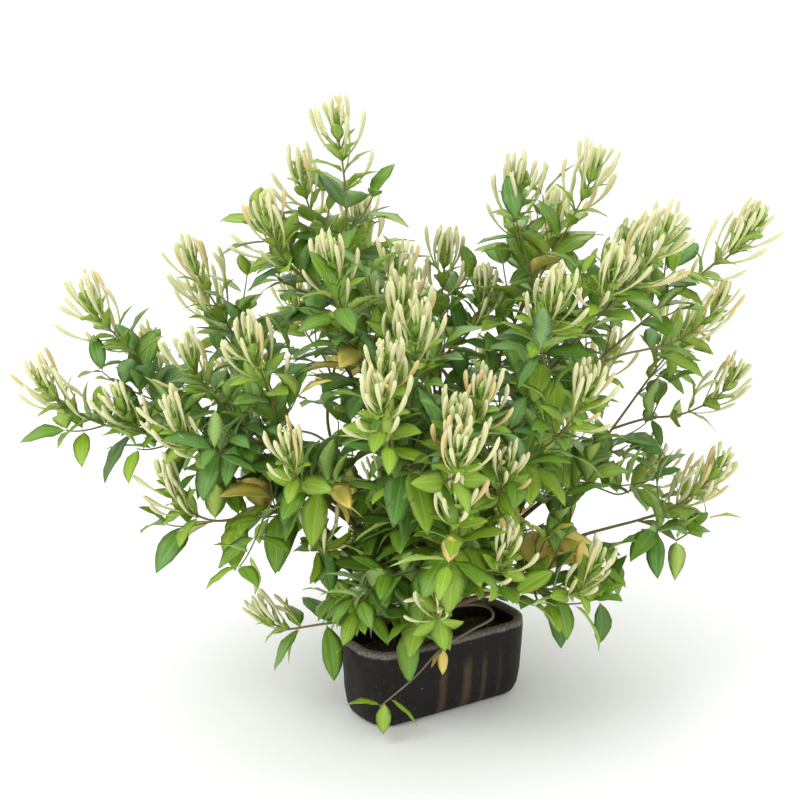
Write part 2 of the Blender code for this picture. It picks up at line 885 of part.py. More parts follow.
def leaf_ways(shoot, name, number):
    """Every leaf's root, direction, length and roll on one shoot, from its tip downwards."""
    draw = random.Random(SEED + 31 * number + sum(ord(letter) for letter in name))
    total = path_length(shoot["path"])
    foot_at = total - TIP_IN_CORE
    if "leaves" in shoot:
        ways = []
        for back, heading, rise, length in shoot["leaves"]:
            root, _ = along(shoot["path"], foot_at - back)
            ways.append((root, heading_vector(heading, rise), length, 0.0))
        return ways
    turn = draw.uniform(0.0, 180.0)
    pairs = LEAD_PAIRS if shoot["lead"] else LEAF_PAIRS
    ways = []
    for pair in range(pairs):
        at = foot_at - LEAF_FIRST - pair * LEAF_PAIR_STEP * draw.uniform(0.9, 1.1)
        if at < LEAF_LAST:
            break
        root, ahead = along(shoot["path"], at)
        across = side_of(ahead)
        lift = LEAF_LIFTS[min(pair, len(LEAF_LIFTS) - 1)]
        length = LEAF_LENGTHS[min(pair, len(LEAF_LENGTHS) - 1)] * draw.uniform(0.88, 1.12)
        for half in (0.0, 180.0):
            angle = math.radians(turn + 90.0 * pair + half + draw.uniform(-LEAF_WAVER, LEAF_WAVER))
            radial = Matrix.Rotation(angle, 3, ahead) @ across
            direction = radial + ahead * LEAF_FORWARD + Vector((0.0, 0.0, lift))
            direction.normalize()
            roll = math.radians(draw.uniform(-LEAF_ROLL, LEAF_ROLL))
            ways.append((root, direction, length, roll))
    return ways


def bud_ways(shoot, name, number):
    """Direction and length of every bud round one core."""
    draw = random.Random(SEED + 57 * number + sum(ord(letter) for letter in name))
    axis = shoot["axis"]
    across = side_of(axis)
    first = draw.uniform(0.0, 360.0)
    ways = []
    for index in range(CORE_SIDES):
        angle = math.radians(first + 360.0 * (index + 0.5) / CORE_SIDES)
        spread = math.radians(BUD_SPREAD + draw.uniform(-6.0, 9.0))
        radial = Matrix.Rotation(angle, 3, axis) @ across
        direction = (axis * math.cos(spread) + radial * math.sin(spread)).normalized()
        ways.append((direction, BUD_LENGTH * draw.uniform(0.86, 1.10)))
    return first, ways


def cluster_solid(shoot, name, number, fits):
    """A whorl of buds round a small core at the shoot's tip, with one upright bud in the middle."""
    axis = shoot["axis"]
    across = side_of(axis)
    first, ways = bud_ways(shoot, name, number)
    points = []
    for height, radius in CORE_RINGS:
        centre = shoot["foot"] + axis * CORE_HEIGHT * height
        for side in range(CORE_SIDES):
            turn = Matrix.Rotation(math.radians(first + 360.0 * side / CORE_SIDES), 3, axis)
            points.append(centre + turn @ across * CORE_RADIUS * radius)
    faces = [tuple(reversed(range(CORE_SIDES)))]
    spire = len(points)
    points.append(shoot["foot"] + axis * (CORE_HEIGHT + BUD_LENGTH))
    for side in range(CORE_SIDES):
        after = (side + 1) % CORE_SIDES
        low, low_after = side, after
        mid, mid_after = CORE_SIDES + side, CORE_SIDES + after
        top, top_after = 2 * CORE_SIDES + side, 2 * CORE_SIDES + after
        faces.append((low, low_after, mid_after, mid))
        faces.append((top, top_after, spire))
        direction, length = ways[side]
        root = (points[mid] + points[mid_after] + points[top] + points[top_after]) / 4.0
        if not fits([root + direction * length * share for share in (0.25, 0.5, 0.75, 1.0)]):
            faces.append((mid, mid_after, top_after, top))
            continue
        club = root + direction * length * 0.94
        left = (points[mid] - points[mid_after]).normalized()
        inner = direction.cross(left).normalized()
        if inner.dot(axis) < 0.0:
            inner.negate()
        ring = len(points)
        points.append(club - inner * BUD_CLUB_RADIUS)
        points.append(club + inner * BUD_CLUB_RADIUS * 0.6 - left * BUD_CLUB_RADIUS * 0.8)
        points.append(club + inner * BUD_CLUB_RADIUS * 0.6 + left * BUD_CLUB_RADIUS * 0.8)
        faces.append((mid, mid_after, ring))
        faces.append((mid_after, top_after, ring + 1, ring))
        faces.append((top_after, top, ring + 2, ring + 1))
        faces.append((top, mid, ring, ring + 2))
        faces.append((ring, ring + 1, ring + 2))
    return points, faces


def skin(points, faces):
    """A search form of a piece, to see what crosses it."""
    return BVHTree.FromPolygons(points, faces)


def free_of(piece, skins):
    """True where a piece crosses none of the skins."""
    own = skin(*piece)
    return not any(own.overlap(other) for other in skins)


def fitting_leaf(way, name, limbs, twigs, spaces, skins):
    """The longest leaf that fits at one root, or nothing."""
    root, direction, length, roll = way
    for shrink, turned in LEAF_TRIES:
        way_out = Matrix.Rotation(math.radians(turned), 3, "Z") @ direction
        leaf = leaf_plan(root, way_out, length * shrink, roll)
        if not in_own_space(leaf_samples(leaf), name, spaces):
            continue
        if any(pierced(leaf, reach, ()) for reach in limbs.values()) or pierced(leaf, twigs, (name,)):
            continue
        blade = leaf_solid(leaf, LEAF_FREE_FROM)
        if free_of(blade, skins):
            return leaf_solid(leaf), skin(*blade)
    return None


def mass_stems(shoots):
    """The twigs of one mass as tapering three-sided tubes."""
    stems = []
    for shoot in shoots:
        path = shoot["path"]
        radii = []
        for index in range(len(path)):
            share = index / (len(path) - 1)
            radii.append(shoot["radius"] + (TWIG_TIP_RADIUS - shoot["radius"]) * share)
        stems.append(tube(path, radii, 3, shoot["facing"]))
    return stems


def mass_clusters(name, shoots, limbs, spaces):
    """The bud clusters of one mass."""

    def fits(samples):
        return in_own_space(samples, name, spaces) and clear_of_limbs(samples, limbs)

    clusters = []
    for number, shoot in enumerate(shoots):
        if shoot["bears"] == "bud":
            clusters.append(cluster_solid(shoot, name, number, fits))
    return clusters


def mass_leaves(name, shoots, stems, limbs, twigs, spaces, placed):
    """The leaves of one mass, each kept off all that is placed before it."""
    leaves = []
    for number, shoot in enumerate(shoots):
        other_stems = [skin(*stem) for index, stem in enumerate(stems) if index != number]
        for way in leaf_ways(shoot, name, number):
            found = fitting_leaf(way, name, limbs, twigs, spaces, placed + other_stems)
            if found:
                leaves.append(found[0])
                placed.append(found[1])
    return leaves


def islands(form):
    """Groups of faces that hang together."""
    left = set(form.faces)
    groups = []
    while left:
        seed = left.pop()
        group = [seed]
        heap = [seed]
        while heap:
            face = heap.pop()
            for edge in face.edges:
                for other in edge.link_faces:
                    if other in left:
                        left.remove(other)
                        group.append(other)
                        heap.append(other)
        groups.append(group)
    return groups


def enclosed_volume(faces):
    """Volume inside a closed group of triangles, negative where it looks inwards."""
    volume = 0.0
    for face in faces:
        corners = [vert.co for vert in face.verts]
        for index in range(1, len(corners) - 1):
            volume += corners[0].dot(corners[index].cross(corners[index + 1])) / 6.0
    return volume


def keep_main_body(mesh):
    """Leaves one outer skin: sealed hollows are filled and loose scraps dropped."""
    form = bmesh.new()
    form.from_mesh(mesh)
    bmesh.ops.triangulate(form, faces=form.faces)
    groups = islands(form)
    groups.sort(key=lambda faces: -enclosed_volume(faces))
    for group in groups[1:]:
        bmesh.ops.delete(form, geom=group, context="FACES")
    loose = [vert for vert in form.verts if not vert.link_faces]
    bmesh.ops.delete(form, geom=loose, context="VERTS")
    form.to_mesh(mesh)
    form.free()


def fuse(name, pieces):
    """One body from a mass's pieces."""
    group = bpy.data.collections.new("pieces_" + name)
    bpy.context.scene.collection.children.link(group)
    parts = []
    for index, (points, faces) in enumerate(pieces):
        mesh = mesh_from(name + "_piece", points, faces, False)
        part = bpy.data.objects.new(name + "_piece", mesh)
        parts.append(part)
        if index:
            group.objects.link(part)
    base = parts[0]
    bpy.context.scene.collection.objects.link(base)
    union = base.modifiers.new("union", "BOOLEAN")
    union.operation = "UNION"
    union.operand_type = "COLLECTION"
    union.collection = group
    union.solver = "EXACT"
    bpy.context.view_layer.update()
    fused = bpy.data.meshes.new_from_object(base.evaluated_get(bpy.context.evaluated_depsgraph_get()))
    for part in parts:
        bpy.data.objects.remove(part)
    bpy.data.collections.remove(group)
    keep_main_body(fused)
    fused.name = "mass_" + name
    fused.materials.clear()
    return make_object("mass_" + name, fused, (0.16, 0.30, 0.06), 0.6)


def build():
    for old in list(bpy.data.objects):
        bpy.data.objects.remove(old)
    pot()
    soil()
    trunk()
    limbs = {"trunk": Reach(), "boughs": Reach()}
    for low, high in zip(TRUNK_TAPER, TRUNK_TAPER[1:]):
        limbs["trunk"].add(
            [trunk_centre(low[0]), trunk_centre((low[0] + high[0]) / 2), trunk_centre(high[0])],
            (low[1], high[1]),
            "trunk",
        )
    twigs = Reach()
    shoots = {}
    for name in TRAILS:
        shoots[name] = grow_trail(name, twigs)
    boughs = grow_boughs(limbs, twigs)
    for name in sorted(MASSES, key=lambda name: -len(MASSES[name][1])):
        shoots[name] = grow_mass_twigs(name, boughs[name][0], limbs, twigs)
    for name, (path, out) in boughs.items():
        make_bough(name, path, out)
    spaces = {}
    for name in shoots:
        own = KDTree(len(twigs.points))
        others = KDTree(len(twigs.points))
        for index, point in enumerate(twigs.points):
            if twigs.owners[index] == name:
                own.insert(point, index)
            else:
                others.insert(point, index)
        own.balance()
        others.balance()
        spaces[name] = (own, others)
    stems = {name: mass_stems(shoots[name]) for name in shoots}
    clusters = {name: mass_clusters(name, shoots[name], limbs, spaces) for name in shoots}
    placed = [skin(*piece) for name in shoots for piece in clusters[name]]
    for name in shoots:
        leaves = mass_leaves(name, shoots[name], stems[name], limbs, twigs, spaces, placed)
        fuse(name, stems[name] + clusters[name] + leaves)


build()
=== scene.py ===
"""Potted honeysuckle: bark, leaves, bracts, flower buds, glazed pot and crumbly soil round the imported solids.

Lengths are in metres and angles in degrees. +Z is up and the front of the shrub looks along -Y.
The limbs and shoots follow the same growth rule as the solids, carried on to finer twigs.
"""

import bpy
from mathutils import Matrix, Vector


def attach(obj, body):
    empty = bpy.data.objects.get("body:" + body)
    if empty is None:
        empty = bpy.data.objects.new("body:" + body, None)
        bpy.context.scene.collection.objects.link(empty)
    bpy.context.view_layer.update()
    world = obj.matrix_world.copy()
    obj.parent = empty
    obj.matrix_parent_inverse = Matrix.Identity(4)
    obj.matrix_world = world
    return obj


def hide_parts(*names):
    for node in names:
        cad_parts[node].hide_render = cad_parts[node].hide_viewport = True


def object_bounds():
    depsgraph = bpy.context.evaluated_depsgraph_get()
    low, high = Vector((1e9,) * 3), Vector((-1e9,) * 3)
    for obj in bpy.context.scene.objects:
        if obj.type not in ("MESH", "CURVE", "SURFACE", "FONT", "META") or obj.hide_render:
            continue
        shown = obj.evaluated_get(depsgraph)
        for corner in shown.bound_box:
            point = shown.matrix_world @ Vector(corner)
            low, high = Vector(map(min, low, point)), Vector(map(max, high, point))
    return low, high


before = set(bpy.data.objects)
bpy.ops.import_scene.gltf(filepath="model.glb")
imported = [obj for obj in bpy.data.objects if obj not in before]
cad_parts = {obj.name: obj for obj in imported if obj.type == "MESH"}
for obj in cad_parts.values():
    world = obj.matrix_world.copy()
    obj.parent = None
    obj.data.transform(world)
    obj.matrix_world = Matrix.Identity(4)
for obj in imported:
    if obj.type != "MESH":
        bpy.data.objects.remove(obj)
cad_box = [[float(value) for value in corner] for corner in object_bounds()]

import itertools
import math
import random

import bmesh
import bpy
from mathutils import Matrix, Vector, noise
from mathutils.bvhtree import BVHTree
from mathutils.kdtree import KDTree

UP = Vector((0.0, 0.0, 1.0))
CLEAR = 0.0003

# Camera of the photograph.
CAMERA_PLACE = (-0.0314, -1.4837, 0.6906)
CAMERA_DOWN = 15.0
CAMERA_HALF_VIEW = 13.25
PICTURE_SIDE = 800
SENSOR_SIDE = 36.0

# Pot: a rounded trough, turned so that its right end is farther away.
POT_TURN = 33.0
POT_LENGTH = 0.180
POT_WIDTH = 0.082
POT_HEIGHT = 0.076
POT_CORNER = 0.032
POT_WALL = 0.0085
CORNER_STEPS = 18
RIM_STEPS = 8
RIM_ROUND = 0.0034
# Rusty runs down the glaze: place along the pot, half width and strength.
POT_RUNS = ((-0.015, 0.0035, 0.75), (0.012, 0.0042, 0.90), (0.031, 0.0024, 0.65), (0.049, 0.0020, 0.30))
SIDE_STEPS = 14
# Outline of the pot's outside and inside: height and how far it is set in there.
POT_OUTSIDE = ((0.0, 0.0125), (0.003, 0.008), (0.01, 0.0046), (0.024, 0.0024), (0.048, 0.0009), (0.067, 0.0))
POT_INSIDE = ((0.01, 0.011), (0.014, 0.007), (0.028, 0.0026), (0.073, 0.0))
# Where the shell's outlines lie, up the outside and down the inside.
OUTSIDE_HEIGHTS = (
    0.0, 0.001, 0.002, 0.003, 0.005, 0.0075, 0.01, 0.014, 0.018, 0.024, 0.031, 0.039, 0.048, 0.058, 0.067,
)
INSIDE_HEIGHTS = (0.068, 0.058, 0.044, 0.028, 0.014, 0.010)

# Soil: level round the trunk, lower along the walls.
SOIL_TOP = 0.062
SOIL_SINK = 0.004
# How far from the wall each outline of the soil's top lies, and what share of the sink it has there.
SOIL_DIP = ((0.0006, 1.0), (0.003, 0.85), (0.006, 0.6), (0.01, 0.3), (0.015, 0.1), (0.021, 0.0), (0.027, 0.0))

# Trunk: a short stem with root flare.
TRUNK_FOOT = Vector((-0.0165, 0.000, SOIL_TOP + CLEAR))
TRUNK_HEAD = Vector((-0.0225, -0.002, 0.134))
TRUNK_TAPER = (
    (0.00, 0.0165), (0.04, 0.0135), (0.12, 0.0108), (0.25, 0.0094), (0.45, 0.0086),
    (0.70, 0.0084), (0.88, 0.0082), (0.96, 0.0062), (1.00, 0.0028),
)
ROOT_LOBES = 5
ROOT_LOBE_DEPTH = 0.16
ROOT_LOBE_HEIGHT = 0.16

# Boughs and twigs, as in the solids' rule.
BOUGH_FOOT_RADIUS = 0.0030
BOUGH_TIP_RADIUS = 0.0019
BOUGH_STEPS = 4
BOUGH_LOWEST = 0.30
BOUGH_HIGHEST = 0.94
BOUGH_CLEAR = 0.0012
ROOT_FREE = 0.009
TWIG_FOOT_RADIUS = 0.0018
SIDE_TWIG_RADIUS = 0.0014
TWIG_TIP_RADIUS = 0.0010
TWIG_STEPS = 3
TWIG_STEP_LENGTH = 0.031
TWIG_CLEAR = 0.0030
LIMB_GAP = 0.0016
FORK_ANGLE = 46.0
LONGEST_FORK = 0.88
CURVE_PULL = 0.33
TIP_IN_CORE = 0.0036
OUTER_LEAN = 54.0
CROWN_HALF_WIDTH = 0.33
LEAF_SHOOT_LEAN = 112.0
FLOOR_MARGIN = 0.004
NEAR_STEP = 0.003
WIDEST_LIMB = 0.012
BOUGH_TRIES = 500
TWIG_TRIES = 160
SEED = 41

# Each mass: where its hub lies from the trunk's head, as heading, rise and reach, then its shoots,
# each as heading, rise and reach from the hub to the foot of its bud cluster.
MASSES = {
    "top_left": ((149, 72, 0.153), (-167, 85, 0.229), (146, 71, 0.193), (-162, 62, 0.171), (93, 60, 0.154)),
    "front_upper": ((-124, 75, 0.138), (-129, 65, 0.156), (-73, 76, 0.134), (-81, 54, 0.138)),
    "back_upper": ((64, 63, 0.134), (80, 79, 0.135), (-7, 71, 0.111), (103, 37, 0.135)),
    "top_right": ((31, 61, 0.169), (19, 82, 0.176), (-8, 66, 0.206), (52, 54, 0.169)),
    "right_upper": ((-12, 57, 0.162), (41, 44, 0.188), (-6, 54, 0.178), (-20, 53, 0.206), (-40, 54, 0.163),
        (-70, 55, 0.134)),
    "far_right": ((10, 47, 0.2), (-1, 44, 0.216), (-1, 43, 0.199), (25, 22, 0.17)),
    "right_middle": ((19, 22, 0.158), (12, 27, 0.173), (35, -8, 0.109), (38, 37, 0.189)),
    "right_low": ((5, 5, 0.13), (-5, 25, 0.151), (12, 16, 0.144), (-15, 10, 0.12), (-18, 63, 0.083)),
    "front_right": ((-39, 46, 0.123), (-43, 43, 0.132), (-85, 20, 0.092)),
    "front_middle": ((-85, 48, 0.116), (-93, 67, 0.158), (-105, 52, 0.156), (-78, 37, 0.145),
        (-58, 47, 0.126), (-103, 40, 0.165), (-79, 26, 0.162)),
    "front_low": ((-63, 21, 0.084), (-90, 32, 0.141), (-64, 14, 0.092), (-102, -26, 0.068),
        (-180, -7, 0.073), (-148, 41, 0.076)),
    "right_skirt": ((-26, -1, 0.105), (-46, 13, 0.078), (-3, -9, 0.078), (-59, -6, 0.04), (9, 56, 0.073)),
    "left_upper": ((159, 45, 0.141), (171, 58, 0.179), (145, 44, 0.157), (170, 26, 0.154)),
    "far_left": ((180, 38, 0.168), (-180, 42, 0.182), (-167, 19, 0.183), (-154, 20, 0.123)),
    "left_middle": ((-145, 45, 0.133), (178, 42, 0.137), (-136, 60, 0.132), (-157, 24, 0.13),
        (-100, 23, 0.106), (-174, 25, 0.091)),
    "left_low": ((-157, 31, 0.118), (-158, 11, 0.112), (-59, -34, 0.043), (-120, 15, 0.072),
        (146, 62, 0.037), (-180, 30, 0.075)),
    "back_left": ((124, 31, 0.152), (112, 48, 0.149), (81, 61, 0.195), (139, 9, 0.142)),
    "back_middle": ((84, 23, 0.131), (90, 37, 0.174), (69, 15, 0.188), (102, -2, 0.184)),
    "back_right": ((54, 23, 0.161), (69, 45, 0.151), (37, 27, 0.151), (63, -12, 0.172)),
    "back_low": ((76, 2, 0.097), (81, 1, 0.137), (114, -3, 0.116), (52, -5, 0.135)),
}
# Shoots that end in leaves instead of buds, by their number in the mass.
LEAF_SHOOTS = {
    "right_low": (2, 3),
    "front_low": (3, 4),
    "right_skirt": (1, 2, 3),
    "left_middle": (4,),
    "left_low": (2, 3, 4),
}

# Trailing shoots: heading and height share of the start, then the steps of the path as heading, rise
# and length, what the tip bears, how the tip points, and each leaf as its distance below the tip,
# heading, rise, length, width share and colour class.
TRAILS = {
    "trailing_left": {
        "start": (-150, 0.30),
        "steps": ((-150, 16, 0.026), (-155, 3, 0.030), (-168, -2, 0.028), (180, -10, 0.030)),
        "bears": "bud",
        "tip": (178, 14),
        "leaves": (
            (0.008, -150, -52, 0.046, 0.44, "mid"), (0.008, 110, 14, 0.040, 0.44, "mid"),
            (0.033, -60, -72, 0.054, 0.40, "mid"), (0.036, 130, 20, 0.044, 0.44, "blue"),
            (0.060, -110, 16, 0.040, 0.50, "blue"), (0.070, 60, 10, 0.046, 0.44, "mid"),
            (0.086, 170, 4, 0.044, 0.55, "mid"), (0.100, -118, -60, 0.048, 0.42, "fresh"),
            (0.110, -88, -56, 0.040, 0.40, "gold"),
        ),
    },
    "trailing_front": {
        "start": (10, 0.32),
        "steps": (
            (16, 10, 0.032), (4, -2, 0.026), (-72, -12, 0.020), (-128, -2, 0.036),
            (-143, -16, 0.036), (-147, -36, 0.034), (-148, -28, 0.042),
        ),
        "bears": "leaf",
        "tip": (-150, -30),
        "leaves": (
            (0.002, 180, 4, 0.032, 0.52, "fresh"), (0.006, -95, -62, 0.028, 0.50, "fresh"),
            (0.012, -24, -36, 0.036, 0.26, "fresh"), (0.082, -150, -50, 0.024, 0.40, "gold"),
            (0.080, -95, -70, 0.036, 0.38, "gold"), (0.130, -70, -50, 0.040, 0.46, "mid"),
            (0.150, -60, -20, 0.044, 0.46, "mid"),
        ),
    },
}

# Bud spikes: how far below the tip each pair of axils stands, its bracts' and buds' lengths, how often
# an axil there bears each of its two buds, how far the buds lean out and how far they curve in again.
SPIKE = (
    (0.0010, 0.0120, 0.012, 0.00, 8, 0.20),
    (0.0040, 0.0155, 0.018, 0.60, 12, 0.25),
    (0.0085, 0.0180, 0.030, 0.95, 22, 0.40),
    (0.0135, 0.0205, 0.040, 1.00, 32, 0.55),
    (0.0195, 0.0230, 0.047, 1.00, 42, 0.70),
    (0.0275, 0.0265, 0.052, 1.00, 52, 0.85),
    (0.0375, 0.0320, 0.053, 0.90, 60, 0.95),
    (0.0510, 0.0400, 0.049, 0.45, 62, 1.00),
)
SPIKE_RISE = 0.031
# Spikes longer than the rest, by mass and shoot.
LONG_SPIKES = {
    ("far_right", 0): 1.9, ("far_right", 1): 1.8, ("far_right", 2): 1.6,
    ("right_middle", 0): 1.5, ("right_upper", 0): 1.7, ("right_upper", 2): 1.6,
    ("right_low", 0): 1.5, ("right_low", 1): 1.5, ("top_left", 1): 1.3,
    ("left_upper", 0): 1.3,
}
BUD_RADIUS = 0.0021

# Leaves below the spikes.
NODE_STEP = 0.022
LEAF_LENGTHS = (0.046, 0.056, 0.062, 0.064, 0.062)
LEAF_WIDTHS = (0.36, 0.48)
LEAF_LIFTS = (0.34, 0.10, -0.08, -0.18, -0.24)
LEAF_FORWARD = 0.36
LEAF_THICK = 0.0005
# How the leaves of a shoot and of a side twig vary: sway of the turn and of the rise, lengths, curls,
# sway of the roll, and how far off the stem's middle they start.
SHOOT_MANNER = (16.0, 0.1, (0.84, 1.14), (0.35, 1.05), 22.0, 0.0008)
TWIG_MANNER = (18.0, 0.2, (0.036, 0.056), (0.3, 1.0), 26.0, 0.0006)

# Colour classes from the tips to the inside, each with the limit of the draw that it takes.
TINT_LIMITS = (("fresh", 0.26), ("mid", 0.66), ("blue", 0.86), ("deep", 9.0))
STRAY_GOLD = 0.006

# Side twigs that fill the crown, and the share of axils that bear one.
SIDE_TWIG_LENGTHS = (0.032, 0.066)
SIDE_TWIG_CHANCE = 0.85
TRUNK_TWIGS = 26
# Girths that new leaves keep clear of.
TWIG_SKIN = 0.0012
SHOOT_SKIN = 0.0014
TRUNK_SKIN = 0.0095
# Low twigs that hang over the front of the rim: heading, share of the trunk's height, rise, length, droop.
RIM_TWIGS = (
    (-128, 0.52, 10, 0.084, 0.7), (-112, 0.44, 8, 0.078, 0.8), (-142, 0.58, 12, 0.086, 0.6),
    (-92, 0.50, 8, 0.078, 0.8), (-70, 0.56, 8, 0.084, 0.7), (-158, 0.50, 10, 0.080, 0.5),
    (-50, 0.48, 6, 0.090, 0.6), (-20, 0.52, 8, 0.092, 0.5),
)


def heading_vector(heading, rise):
    """Unit vector at a heading round the plant and a rise above the level."""
    turn = math.radians(heading)
    lift = math.radians(rise)
    return Vector((math.cos(lift) * math.cos(turn), math.cos(lift) * math.sin(turn), math.sin(lift)))


def side_of(direction):
    """Level vector square to a direction."""
    side = direction.cross(UP)
    if side.length < 0.05:
        side = Vector((1.0, 0.0, 0.0))
    return side.normalized()


def cubic(first, second, third, last, count):
    """Points along a cubic curve from first to last, drawn towards the two between."""
    points = []
    for index in range(count + 1):
        t = index / count
        s = 1.0 - t
        ends = first * s * s * s + second * 3.0 * s * s * t
        points.append(ends + third * 3.0 * s * t * t + last * t * t * t)
    return points


def smooth_path(knots, steps):
    """A rounded path through its knots."""
    path = []
    for index in range(len(knots) - 1):
        before = knots[max(index - 1, 0)]
        start = knots[index]
        end = knots[index + 1]
        after = knots[min(index + 2, len(knots) - 1)]
        near = start + (end - before) / 6.0
        far = end - (after - start) / 6.0
        path.extend(cubic(start, near, far, end, steps)[:-1])
    path.append(knots[-1])
    return path


def along(path, distance):
    """Point and direction at a distance from the path's start."""
    walked = 0.0
    for start, end in zip(path, path[1:]):
        length = (end - start).length
        if walked + length >= distance:
            return start.lerp(end, (distance - walked) / length), (end - start).normalized()
        walked += length
    return path[-1].copy(), (path[-1] - path[-2]).normalized()


def path_length(path):
    """Length of a path along its points."""
    return sum((end - start).length for start, end in zip(path, path[1:]))


def resample(path, count):
    """The path again with evenly spaced points."""
    total = path_length(path)
    return [along(path, total * index / count)[0] for index in range(count)] + [path[-1].copy()]


def fine_points(path, step):
    """Points about one step apart along the path."""
    return resample(path, max(2, round(path_length(path) / step)))


def trunk_centre(share):
    """Middle of the trunk at a share of its height, with a slight bow."""
    bow = Vector((0.0016, -0.0022, 0.0)) * math.sin(math.pi * share)
    return TRUNK_FOOT.lerp(TRUNK_HEAD, share) + bow


def trunk_radius(share):
    """Radius of the trunk at a share of its height."""
    for (low, low_radius), (high, high_radius) in zip(TRUNK_TAPER, TRUNK_TAPER[1:]):
        if share <= high:
            return low_radius + (high_radius - low_radius) * (share - low) / (high - low)
    return TRUNK_TAPER[-1][1]


def limb_start(heading, share, radius):
    """Where a limb's foot stands clear of the trunk's side."""
    low = max(0.0, share - 1.6 * radius / (TRUNK_HEAD.z - TRUNK_FOOT.z))
    widest = max(trunk_radius(low), trunk_radius(share), trunk_radius(min(1.0, share + 0.05)))
    return trunk_centre(share) + heading_vector(heading, 0.0) * (widest + CLEAR)


class Reach:
    """Points along limbs or twigs, to measure how close anything else comes."""

    def __init__(self):
        self.entries = []
        self.tree = None

    def add(self, path, radii, owner):
        fine = fine_points(path, NEAR_STEP)
        for index, point in enumerate(fine):
            radius = radii[0] + (radii[1] - radii[0]) * (index / (len(fine) - 1))
            self.entries.append((point, radius, owner))
        self.tree = None

    def near(self, centre, distance, but_not):
        """Points within a distance that some other part owns."""
        if self.tree is None:
            self.tree = KDTree(max(1, len(self.entries)))
            for index, entry in enumerate(self.entries):
                self.tree.insert(entry[0], index)
            self.tree.balance()
        found = [self.entries[index] for _, index, _ in self.tree.find_range(centre, distance)]
        return [(place, radius) for place, radius, owner in found if owner not in but_not]


def path_is_clear(path, radius, reach, gap, skip_start=0.0, but_not=()):
    """True where the path keeps its gap from all that is in reach."""
    walked = 0.0
    fine = fine_points(path, NEAR_STEP)
    for before, point in zip(fine[:1] + fine, fine):
        walked += (point - before).length
        if walked < skip_start:
            continue
        for other, other_radius in reach.near(point, radius + gap + WIDEST_LIMB, but_not):
            if (point - other).length < radius + other_radius + gap:
                return False
    return True


def bough_path(name, hub, heading, share, draw, wander):
    """A limb's path from the trunk's side to its hub."""
    start = limb_start(heading, share, BOUGH_FOOT_RADIUS)
    length = (hub - start).length
    rise = math.degrees(math.asin((hub.z - start.z) / length))
    leave = heading_vector(heading, 22.0 + 0.5 * rise)
    arrive = mass_direction(name, hub).lerp((hub - start).normalized(), 0.45).normalized()
    bend = Vector([draw.uniform(-1.0, 1.0) * wander for _ in range(3)])
    path = cubic(start, start + leave * length * 0.30 + bend, hub - arrive * length * 0.32 + bend, hub, 24)
    return resample(path, BOUGH_STEPS)


def hub_place(name):
    """Where a mass's bough ends and its twigs begin."""
    heading, rise, reach = MASSES[name][0]
    return TRUNK_HEAD + heading_vector(heading, rise) * reach


def shoot_foot(name, number):
    """Where one shoot's bud cluster stands."""
    heading, rise, reach = MASSES[name][number + 1]
    return hub_place(name) + heading_vector(heading, rise) * reach


def mass_direction(name, hub):
    """Mean direction of a mass's shoots from its hub."""
    total = Vector((0.0, 0.0, 0.0))
    for number in range(len(MASSES[name]) - 1):
        total += (shoot_foot(name, number) - hub).normalized()
    return (total + Vector((0.0, 0.0, 0.35))).normalized()


def cluster_axis(foot, bears):
    """Way a shoot's tip points: upright in the middle of the crown and outwards at its edge."""
    outward = Vector((foot.x - TRUNK_HEAD.x, foot.y - TRUNK_HEAD.y, 0.0))
    lean = OUTER_LEAN * min(1.2, outward.length / CROWN_HALF_WIDTH)
    if bears == "leaf":
        lean = LEAF_SHOOT_LEAN
    return heading_vector(math.degrees(math.atan2(outward.y, outward.x)), 90.0 - lean)


def grow_boughs(trunk, limbs, twigs):
    """All boughs, low ones first, each led clear of those before it and of the trailing shoots."""
    names = sorted(MASSES, key=lambda name: hub_place(name).z)
    boughs = {}
    for rank, name in enumerate(names):
        level = rank / (len(names) - 1)
        draw = random.Random(SEED + 7 * rank)
        for attempt in range(BOUGH_TRIES):
            turn = MASSES[name][0][0] + draw.uniform(-1.0, 1.0) * min(0.6 * attempt, 75.0)
            share = BOUGH_LOWEST + (BOUGH_HIGHEST - BOUGH_LOWEST) * level
            share += draw.uniform(-1.0, 1.0) * min(0.002 * attempt, 0.22)
            share = min(BOUGH_HIGHEST, max(BOUGH_LOWEST, share))
            path = bough_path(name, hub_place(name), turn, share, draw, min(0.0004 * attempt, 0.03))
            checks = ((limbs, BOUGH_CLEAR), (trunk, BOUGH_CLEAR, ROOT_FREE), (twigs, BOUGH_CLEAR))
            if all(path_is_clear(path, BOUGH_FOOT_RADIUS, *check) for check in checks):
                break
        limbs.add(path, (BOUGH_FOOT_RADIUS, BOUGH_TIP_RADIUS), name)
        boughs[name] = path
    return boughs


def twig_is_clear(path, radius, name, trunk, limbs, twigs):
    """True where a twig keeps clear of limbs, of other masses' twigs and of the pot."""
    checks = [(limbs, LIMB_GAP, ROOT_FREE * 0.7), (trunk, LIMB_GAP, ROOT_FREE)]
    checks.append((twigs, TWIG_CLEAR, 0.0, (name,)))
    if not all(path_is_clear(path, radius, *check) for check in checks):
        return False
    return not any(in_pot(point, 0.003) for point in fine_points(path, 0.004))


def in_pot(point, margin):
    """True for a point inside the pot's block or below the floor's margin."""
    if point.z < FLOOR_MARGIN:
        return True
    if point.z > POT_HEIGHT + margin:
        return False
    turn = math.radians(-POT_TURN)
    across = point.x * math.cos(turn) - point.y * math.sin(turn)
    back = point.x * math.sin(turn) + point.y * math.cos(turn)
    return abs(across) < POT_LENGTH / 2 + margin and abs(back) < POT_WIDTH / 2 + margin


